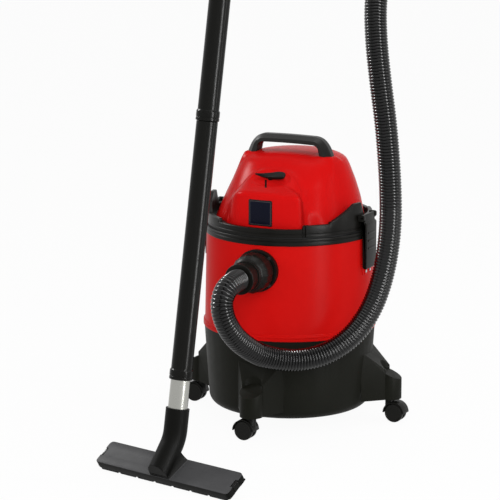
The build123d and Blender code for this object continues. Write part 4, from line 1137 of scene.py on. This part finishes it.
@dataclass
class Handle:
    """Carrying handle over the head's crown."""

    foot_x: float = 79
    foot_z: float = 500
    bar_x: float = 62
    bar_z: float = 538.3
    leg: float = 23
    bar: float = 15
    depth: float = 26

    def build(self) -> None:
        """A section with one slanted facet, carried along a bowed path.

        It is thick at the feet and thinner in the bar.
        """
        corners = [
            (-self.foot_x, 0, self.foot_z),
            (-self.bar_x - 4, 0, self.bar_z - 1.0),
            (0, 0, self.bar_z + 0.4),
            (self.bar_x + 4, 0, self.bar_z - 1.0),
            (self.foot_x, 0, self.foot_z),
        ]
        steps = 14
        path = rounded(corners, [0, 17, 50, 17, 0], steps)[steps:-steps]
        share = ease(path[:, 2], self.foot_z + 8, self.bar_z - 5)
        thick = self.leg + (self.bar - self.leg) * share
        facets = [(-0.5, -0.5), (0.0, -0.5), (0.5, -0.1), (0.5, 0.5), (-0.5, 0.5)]
        base = rounded(facets, [0.14, 0.05, 0.05, 0.16, 0.14], 6)
        section = base[None] * np.stack([thick, np.full(len(path), self.depth)], 1)[:, None]
        shell = Shell().grid(carried(section, path, (0, 1, 0)), ends=True)
        dress(shell.make("carry_handle", 22), "head", "head_black", ["handle"], "handle_black")


@dataclass
class Switch:
    """Wing knob on the slanted face."""

    reach: float = 31
    hub_r: float = 7
    low: float = 0.3
    high: float = 9
    tip_lift: float = 3.6

    def build(self, face: Axes) -> None:
        """A hub and a wing whose top climbs from a thin left tip to a thick rounded right end.

        Args:
            face: axes of the slanted face.
        """
        shell = Shell().grid(slab(circle(self.hub_r, 48), -3, 4, 0.8), face, ends=True)
        near = [(-self.reach, -1.2), (-12, -4.5), (17, -8.5), (self.reach, -6.5)]
        far = [(x, -y) for x, y in near[::-1]]
        wing = rounded(near + far, [1, 8, 8, 6, 6, 8, 8, 1], 6)
        share = slab(wing, 0, 1, 0.22, 6)[..., 2]
        wide = slab(wing, self.low, self.high, 2.2, 6)
        climb = 0.4 + 0.6 * ease(wide[..., 0], -18, 20)
        lift = self.tip_lift * (wide[..., 0] / self.reach) ** 2
        wide[..., 2] = self.low + lift + (self.high - self.low - lift) * share * climb
        shell.grid(wide, face, ends=True)
        dress(shell.make("knob", 45), "knob", "head_black", ["switch_knob"])


@dataclass
class Latch:
    """Side latch: a bent plate on a barrel, with three grip ribs."""

    name: str
    side: int
    half: float = 23.5
    wall: float = 3
    rib_half: float = 16
    rib_heights: tuple[float, ...] = (344, 358.5, 373)

    def build(self) -> None:
        """Plate outline in X and Z carried across the width.

        A wall stands at each edge and ribs lie on the outer face.
        """
        outline = rounded(
            [
                (164.36, 305),
                (169.16, 305),
                (169.16, 391),
                (165.4, 394),
                (165, 408.2),
                (160, 408.2),
                (157, 405),
                (157, 401),
                (160, 397.8),
                (164.36, 384),
            ],
            [1.6, 2, 1.2, 0.8, 3, 2, 2, 2, 3, 5],
        )
        wall = rounded([(160.5, 307), (166, 305), (166, 391), (160.5, 388)], [3, 0.5, 0.5, 2])
        axes = Axes(x=(self.side, 0, 0), y=(0, 0, 1), z=(0, -self.side, 0))
        shell = Shell().grid(slab(outline, -self.half, self.half, 1.5), axes, ends=True)
        for low in (-self.half, self.half - self.wall):
            shell.grid(slab(wall, low, low + self.wall, 0.8), axes, ends=True)
        lower = [(168, -2.4), (169.2, -2.4), (170.56, -0.8)]
        upper = [(x, -z) for x, z in lower[::-1]]
        for height in self.rib_heights:
            rib = rounded([(x, height + z) for x, z in lower + upper], 0.7)
            shell.grid(slab(rib, -self.rib_half, self.rib_half, 0.8), axes, ends=True)
        dress(shell.make(f"latch_{self.name}"), f"{self.name}_latch", "head_black", [f"{self.name}_latch"])


@dataclass
class Caster:
    """Twin-wheel caster under one lug."""

    name: str
    hub: Point
    wheel_r: float = 18
    inner: float = 4.2
    outer: float = 12.7
    axle_r: float = 2.6
    rim_r: float = 15.4
    dish_r: float = 14.6

    def build(self) -> None:
        """Hood with rounded edges, and two turned wheels with a raised rim and a closed hub."""
        hood = softened(f"{self.name}_caster_hood", f"caster_{self.name}_hood", 0.8)
        dress(hood, f"{self.name}_caster", "caster_black", [f"{self.name}_caster_hood"])
        corners = [
            (self.axle_r, self.inner),
            (self.wheel_r, self.inner),
            (self.wheel_r, self.outer - 0.6),
            (self.rim_r, self.outer),
            (self.dish_r, self.outer - 0.9),
            (0, self.outer - 0.6),
            (0, self.outer - 1.1),
            (self.axle_r, self.outer - 1.1),
        ]
        profile = rounded(corners, [0.2, 1.4, 2.2, 0.7, 0.7, 0, 0, 0.2])
        shell = Shell()
        for way in (1, -1):
            shell.grid(turned(profile, 72), Axes(self.hub, (1, 0, 0), (0, 0, -way), (0, way, 0)), ring=True)
        pair = shell.make(f"caster_{self.name}_pair")
        dress(pair, f"{self.name}_wheels", "wheel_black", [f"{self.name}_caster_wheels"])


WAND_LEAN = 9.2
WAND_YAW = -14.5


def leaning_axes(origin: Point, angle: float) -> Axes:
    """Axes in the wand's upright plane: X level across it, Z leaning onward from upright.

    Args:
        origin: where the axes start.
        angle: lean of Z in degrees.

    Returns:
        The axes.
    """
    lean, yaw = math.radians(angle), math.radians(WAND_YAW)
    across = np.array([math.cos(yaw), math.sin(yaw), 0])
    ahead = np.array([-math.sin(yaw) * math.sin(lean), math.cos(yaw) * math.sin(lean), math.cos(lean)])
    return Axes(origin, tuple(across), tuple(np.cross(ahead, across)), tuple(ahead))


@dataclass
class Wand:
    """Metal tube, two sleeved tubes and the bent grip."""

    bend_point: Point = (7.51, -492.96, 78)
    cuff_point: Point = (68.24, -258.14, 1225.88)
    grip_bend: float = 50
    lower_foot: float = 105
    upper_foot: float = 561
    socket_r: float = 17.5
    socket: float = 30
    collar_r: float = 20.8
    collar_groove_r: float = 20.2
    tube_r: float = 19
    tube: float = 455
    spigot_r: float = 17.4
    spigot_bore_r: float = 15.7
    spigot_end: float = 485.8
    segments: int = 72

    def axes(self) -> Axes:
        """Axes of the wand: Z along it."""
        return leaning_axes(self.bend_point, WAND_LEAN)

    def sleeve(self, name: str, foot: float) -> bpy.types.Object:
        """Turned tube with a collar at its foot that has one thin groove."""
        corners = [
            (self.socket_r, foot),
            (self.collar_r, foot),
            (self.collar_r, foot + 5),
            (self.collar_groove_r, foot + 5.5),
            (self.collar_groove_r, foot + 6.5),
            (self.collar_r, foot + 7),
            (self.collar_r, foot + 17),
            (self.tube_r, foot + 19),
            (self.tube_r, foot + self.tube),
            (self.spigot_r, foot + self.tube + 1),
            (self.spigot_r, foot + self.spigot_end),
            (self.spigot_bore_r, foot + self.spigot_end),
            (self.spigot_bore_r, foot + self.socket),
            (self.socket_r, foot + self.socket),
        ]
        cuts = [0.4, 1.6, 0.4, 0.3, 0.3, 0.4, 1.6, 1.2, 0.8, 0.3, 0.5, 0.5, 0.3, 0.3]
        tube = lathe(f"wand_{name}", corners, cuts, self.axes(), self.segments)
        return dress(tube, "tank", "wand_black", [f"{name}_tube"])

    def grip(self) -> bpy.types.Object:
        """The bent grip, edges rounded."""
        return dress(softened("hand_grip", "grip", 1.0), "tank", "wand_black", ["hand_grip"])

    def cuff(self) -> bpy.types.Object:
        """Turned cuff between the grip and the hose."""
        axes = leaning_axes(self.cuff_point, WAND_LEAN + self.grip_bend)
        corners = [
            (20.1, -12),
            (24, -12),
            (26, -6),
            (26, 22),
            (24.6, 23),
            (24.6, 26),
            (26, 27),
            (26, 34),
            (17, 34),
            (17, 0.1),
            (20.1, 0.1),
        ]
        cuts = [0.5, 2, 3, 0.8, 0.6, 0.6, 0.8, 2, 1, 0.3, 0.3]
        cuff = lathe("grip_hose_cuff", corners, cuts, axes, self.segments)
        return dress(cuff, "tank", "hose_black", ["grip_cuff"], "head_black")

    def build(self) -> None:
        """Make the wand's pieces."""
        self.sleeve("lower", self.lower_foot)
        self.sleeve("upper", self.upper_foot)
        self.grip()
        self.cuff()
        dress(softened("air_slide", "slide_ring", 0.6), "air_slide", "wand_black", ["air_slide"])


@dataclass
class Nozzle:
    """Floor nozzle on its front lip: body plate with a neck, insert and lips."""

    origin: Point = (0, -522, 0)
    pitch: float = 33
    half: float = 156
    deep: float = 52
    notch: float = 149.9
    plate_low: float = 3.4
    plate_high: float = 18.6
    front: float = 0.3
    neck_r: float = 21
    neck_low: float = 8
    skirt_end: float = 51

    def axes(self) -> Axes:
        """Axes of the plate: X along the nozzle, Y to its back, Z out of its top."""
        return leaning_axes(self.origin, -self.pitch)

    def plate(self) -> Array:
        """Flat plate whose corners are rounded and whose ends have a notch for each clip."""
        half, notch = self.half, self.notch
        right = [(half, 0), (half, 17.9), (notch, 17.9), (notch, 34.1), (half, 34.1), (half, self.deep)]
        left = [(-x, y) for x, y in right[::-1]]
        outline = rounded(right + left, [7, 2, 1, 1, 2, 9, 9, 2, 1, 1, 2, 7])
        return slab(outline, self.plate_low, self.plate_high, 0.9)

    def neck(self) -> Array:
        """Circle carried from the plate's front edge up the slant and round the bend.

        It is kept behind the plate's front edge and above its underside.
        """
        bend = np.array([0, 67.6, 49.1])
        slant = np.array([0, 0.9455, 0.3256])
        lean = math.radians(WAND_LEAN + self.pitch)
        wand = np.array([0, math.sin(lean), math.cos(lean)])
        corners = [bend - 90 * slant, bend, bend + 54 * wand]
        steps = 18
        path = rounded(corners, [0, 17, 0], steps)[steps:-steps]
        path = np.concatenate([np.linspace(path[0], path[1], 40)[:-1], path[1:]])
        points = carried(circle(self.neck_r, 64), path, (1, 0, 0))
        points[..., 1] = np.maximum(points[..., 1], self.front)
        points[..., 2] = np.maximum(points[..., 2], self.neck_low)
        return points

    def skirt(self) -> Array:
        """Wedge under the neck: each flank falls as a quarter ellipse from the neck's side to the plate."""
        y = np.linspace(self.front, self.skirt_end, 26)[:, None]
        middle = 26 + (y - 0.5) * 0.3444
        turn = np.linspace(0, math.pi / 2, 14)[None]
        spread = 8 + 8 * y / self.skirt_end
        x = 20.6 + spread * (1 - np.cos(turn))
        z = middle - (middle - 15.2) * np.sin(turn)
        right = np.stack([x, y + 0 * turn, z], -1)
        left = right[:, ::-1] * np.array([-1, 1, 1])
        floor = np.stack([right[:, -1], left[:, 0]], 1) - np.array([0, 0, 6])
        return np.concatenate([right, floor, left], 1)

    def build(self) -> None:
        """Plate, neck and skirt as one body; the insert with rounded edges."""
        axes = self.axes()
        shell = Shell().grid(self.plate(), axes, ends=True)
        shell.grid(self.neck(), axes, ends=True).grid(self.skirt(), axes, ends=True)
        # The nozzle_grey finish paints the top lighter and the walls darker, partly as painted light and
        # shade.
        dress(shell.make("nozzle"), "tank", "wand_black", ["nozzle_body"], "nozzle_grey")
        dress(softened("nozzle_insert", "nozzle_sole", 0.6), "tank", "wand_black", ["nozzle_insert"])


@dataclass(frozen=True)
class Lamp:
    """One soft rectangular lamp: place, aim, width and height in metres, power in watts."""

    name: str
    place: Point
    aim: Point
    size: tuple[float, float]
    power: float
    role: Role = Role.BOTH

    def build(self) -> None:
        """Make the lamp and turn it to its aim."""
        data = bpy.data.lights.new(self.name, "AREA")
        data.shape = "RECTANGLE"
        data.size, data.size_y = self.size
        data.energy = self.power
        lamp = bpy.data.objects.new(self.name, data)
        lamp.location = self.place
        lamp.visible_diffuse = self.role is not Role.GLEAM
        lamp.visible_glossy = self.role is not Role.LIGHT
        lamp.rotation_euler = (Vector(self.aim) - Vector(self.place)).to_track_quat("-Z", "Y").to_euler()
        bpy.context.scene.collection.objects.link(lamp)


@dataclass(frozen=True)
class Studio:
    """Floor, lights, world and camera."""

    eye: Point = (2.0638, -4.4258, 1.3437)
    target: Point = (0, 0, 0.270)
    focal_pixels: float = 2616.8
    centre: tuple[float, float] = (289.9, 276.9)
    picture: float = 500
    sensor: float = 36
    floor_half: float = 60
    floor_grey: float = 0.85
    floor_white: float = 0.95
    room_light: float = 0.42
    lamps: tuple[Lamp, ...] = (
        Lamp("key", (1.75, -3.0, 1.7), (0, 0, 0.35), (2.0, 2.0), 76, Role.LIGHT),
        Lamp("kicker", (-1.7, -2.4, 1.1), (0, 0, 0.3), (0.5, 0.9), 10, Role.LIGHT),
        Lamp("strip", (2.6, 0.55, 1.1), (0.1, 0, 0.5), (0.3, 2.2), 14),
        Lamp("top", (0.3, 0.2, 3.0), (0, 0, 0.3), (1.6, 1.6), 22),
        Lamp("stripe", (2.46, -1.08, 1.6), (0, -0.4, 1.6), (0.35, 3.2), 125, Role.GLEAM),
        Lamp("glint", (-2.5, 0.1, 2.0), (0, -0.05, 0.45), (0.5, 0.5), 65, Role.GLEAM),
    )

    def camera(self) -> None:
        """Camera at the photograph's place, aimed so that its axis meets the picture's middle."""
        data = bpy.data.cameras.new("camera")
        data.sensor_width = self.sensor
        data.lens = self.focal_pixels / self.picture * self.sensor
        data.clip_end = 200
        ahead = (Vector(self.target) - Vector(self.eye)).normalized()
        right = ahead.cross(Vector((0, 0, 1))).normalized()
        up = right.cross(ahead)
        middle = self.picture / 2
        aim = ahead + right * ((middle - self.centre[0]) / self.focal_pixels)
        aim -= up * ((middle - self.centre[1]) / self.focal_pixels)
        camera = bpy.data.objects.new("camera", data)
        camera.location = self.eye
        camera.rotation_euler = aim.to_track_quat("-Z", "Y").to_euler()
        bpy.context.scene.collection.objects.link(camera)
        bpy.context.scene.camera = camera

    def backdrop_share(self, shader: Shader) -> Signal:
        """1 for rays that should see the plain background: straight, mirrored or through glass."""
        kinds = ("Camera", "Glossy", "Transmission")
        paths = [shader.node("LightPath", output=f"Is {kind} Ray") for kind in kinds]
        return paths[0].larger(paths[1]).larger(paths[2])

    def floor(self) -> None:
        """Pale matt floor with a faint shadow; straight and mirrored rays see it almost plain white."""
        mesh = bpy.data.meshes.new("floor")
        far = self.floor_half
        corners = [(-far, -far, 0), (far, -far, 0), (far, far, 0), (-far, far, 0)]
        mesh.from_pydata(corners, [], [(0, 1, 2, 3)])
        floor = bpy.data.objects.new("floor", mesh)
        bpy.context.scene.collection.objects.link(floor)
        shader = Shader(bpy.data.materials.new("floor_white"))
        matte = shader.node("BsdfDiffuse", {}, {"Color": (*[self.floor_grey] * 3, 1)})
        glow = shader.node("Emission", {}, {"Color": (1, 1, 1, 1), "Strength": 1.0})
        share = self.backdrop_share(shader) * self.floor_white
        mixed = shader.node("MixShader", {}, {0: share, 1: matte, 2: glow})
        shader.node("OutputMaterial", {}, {"Surface": mixed})
        mesh.materials.append(shader.owner)

    def world(self) -> None:
        """White for the background, a low even light for the rest."""
        shader = Shader(bpy.data.worlds.new("studio"))
        strength = self.room_light + self.backdrop_share(shader) * (1 - self.room_light)
        glow = shader.node("Background", {}, {"Color": (1, 1, 1, 1), "Strength": strength})
        shader.node("OutputWorld", {}, {"Surface": glow})
        bpy.context.scene.world = shader.owner

    def build(self) -> None:
        """Set the camera, floor, world and lamps."""
        bpy.context.scene.view_settings.view_transform = "Standard"
        self.camera()
        self.floor()
        self.world()
        for lamp in self.lamps:
            lamp.build()


NODE_FINISHES = {
    "inlet_screws": "screw_black",
    "left_catch": "tank_red",
    "right_catch": "tank_red",
    "latch_pins": "screw_black",
    "catch_rivets": "zinc_steel",
}
CASTER_HUBS = {
    "front": (1.74, -196.52, 18),
    "right": (204.70, 40.96, 18),
    "rear": (-1.74, 196.52, 18),
    "left": (-208.52, 13.74, 18),
}


def dress_nodes() -> None:
    """Give every node that still shows its slot's finish."""
    slots = {part["node"]: part["material_slot"] for part in frame["record"]["subparts"]}
    for name, node in frame["nodes"].items():
        if not node.hide_render:
            node.data.materials.clear()
            node.data.materials.append(material(NODE_FINISHES.get(name, slots[name])))
            log.info("node %s in %s", name, slots[name])


def main() -> None:
    """Build the scene in order."""
    logging.basicConfig(level=logging.INFO, format="%(message)s")
    Studio().build()
    Hose().build()
    Tank().build()
    Inlet().build()
    head = Head()
    head.build()
    Handle().build()
    Switch().build(head.slope())
    for name, side in SIDES:
        Latch(name, side).build()
    for name, hub in CASTER_HUBS.items():
        Caster(name, hub).build()
    Wand().build()
    Nozzle().build()
    dress_nodes()


if __name__ == "__main__":
    main()
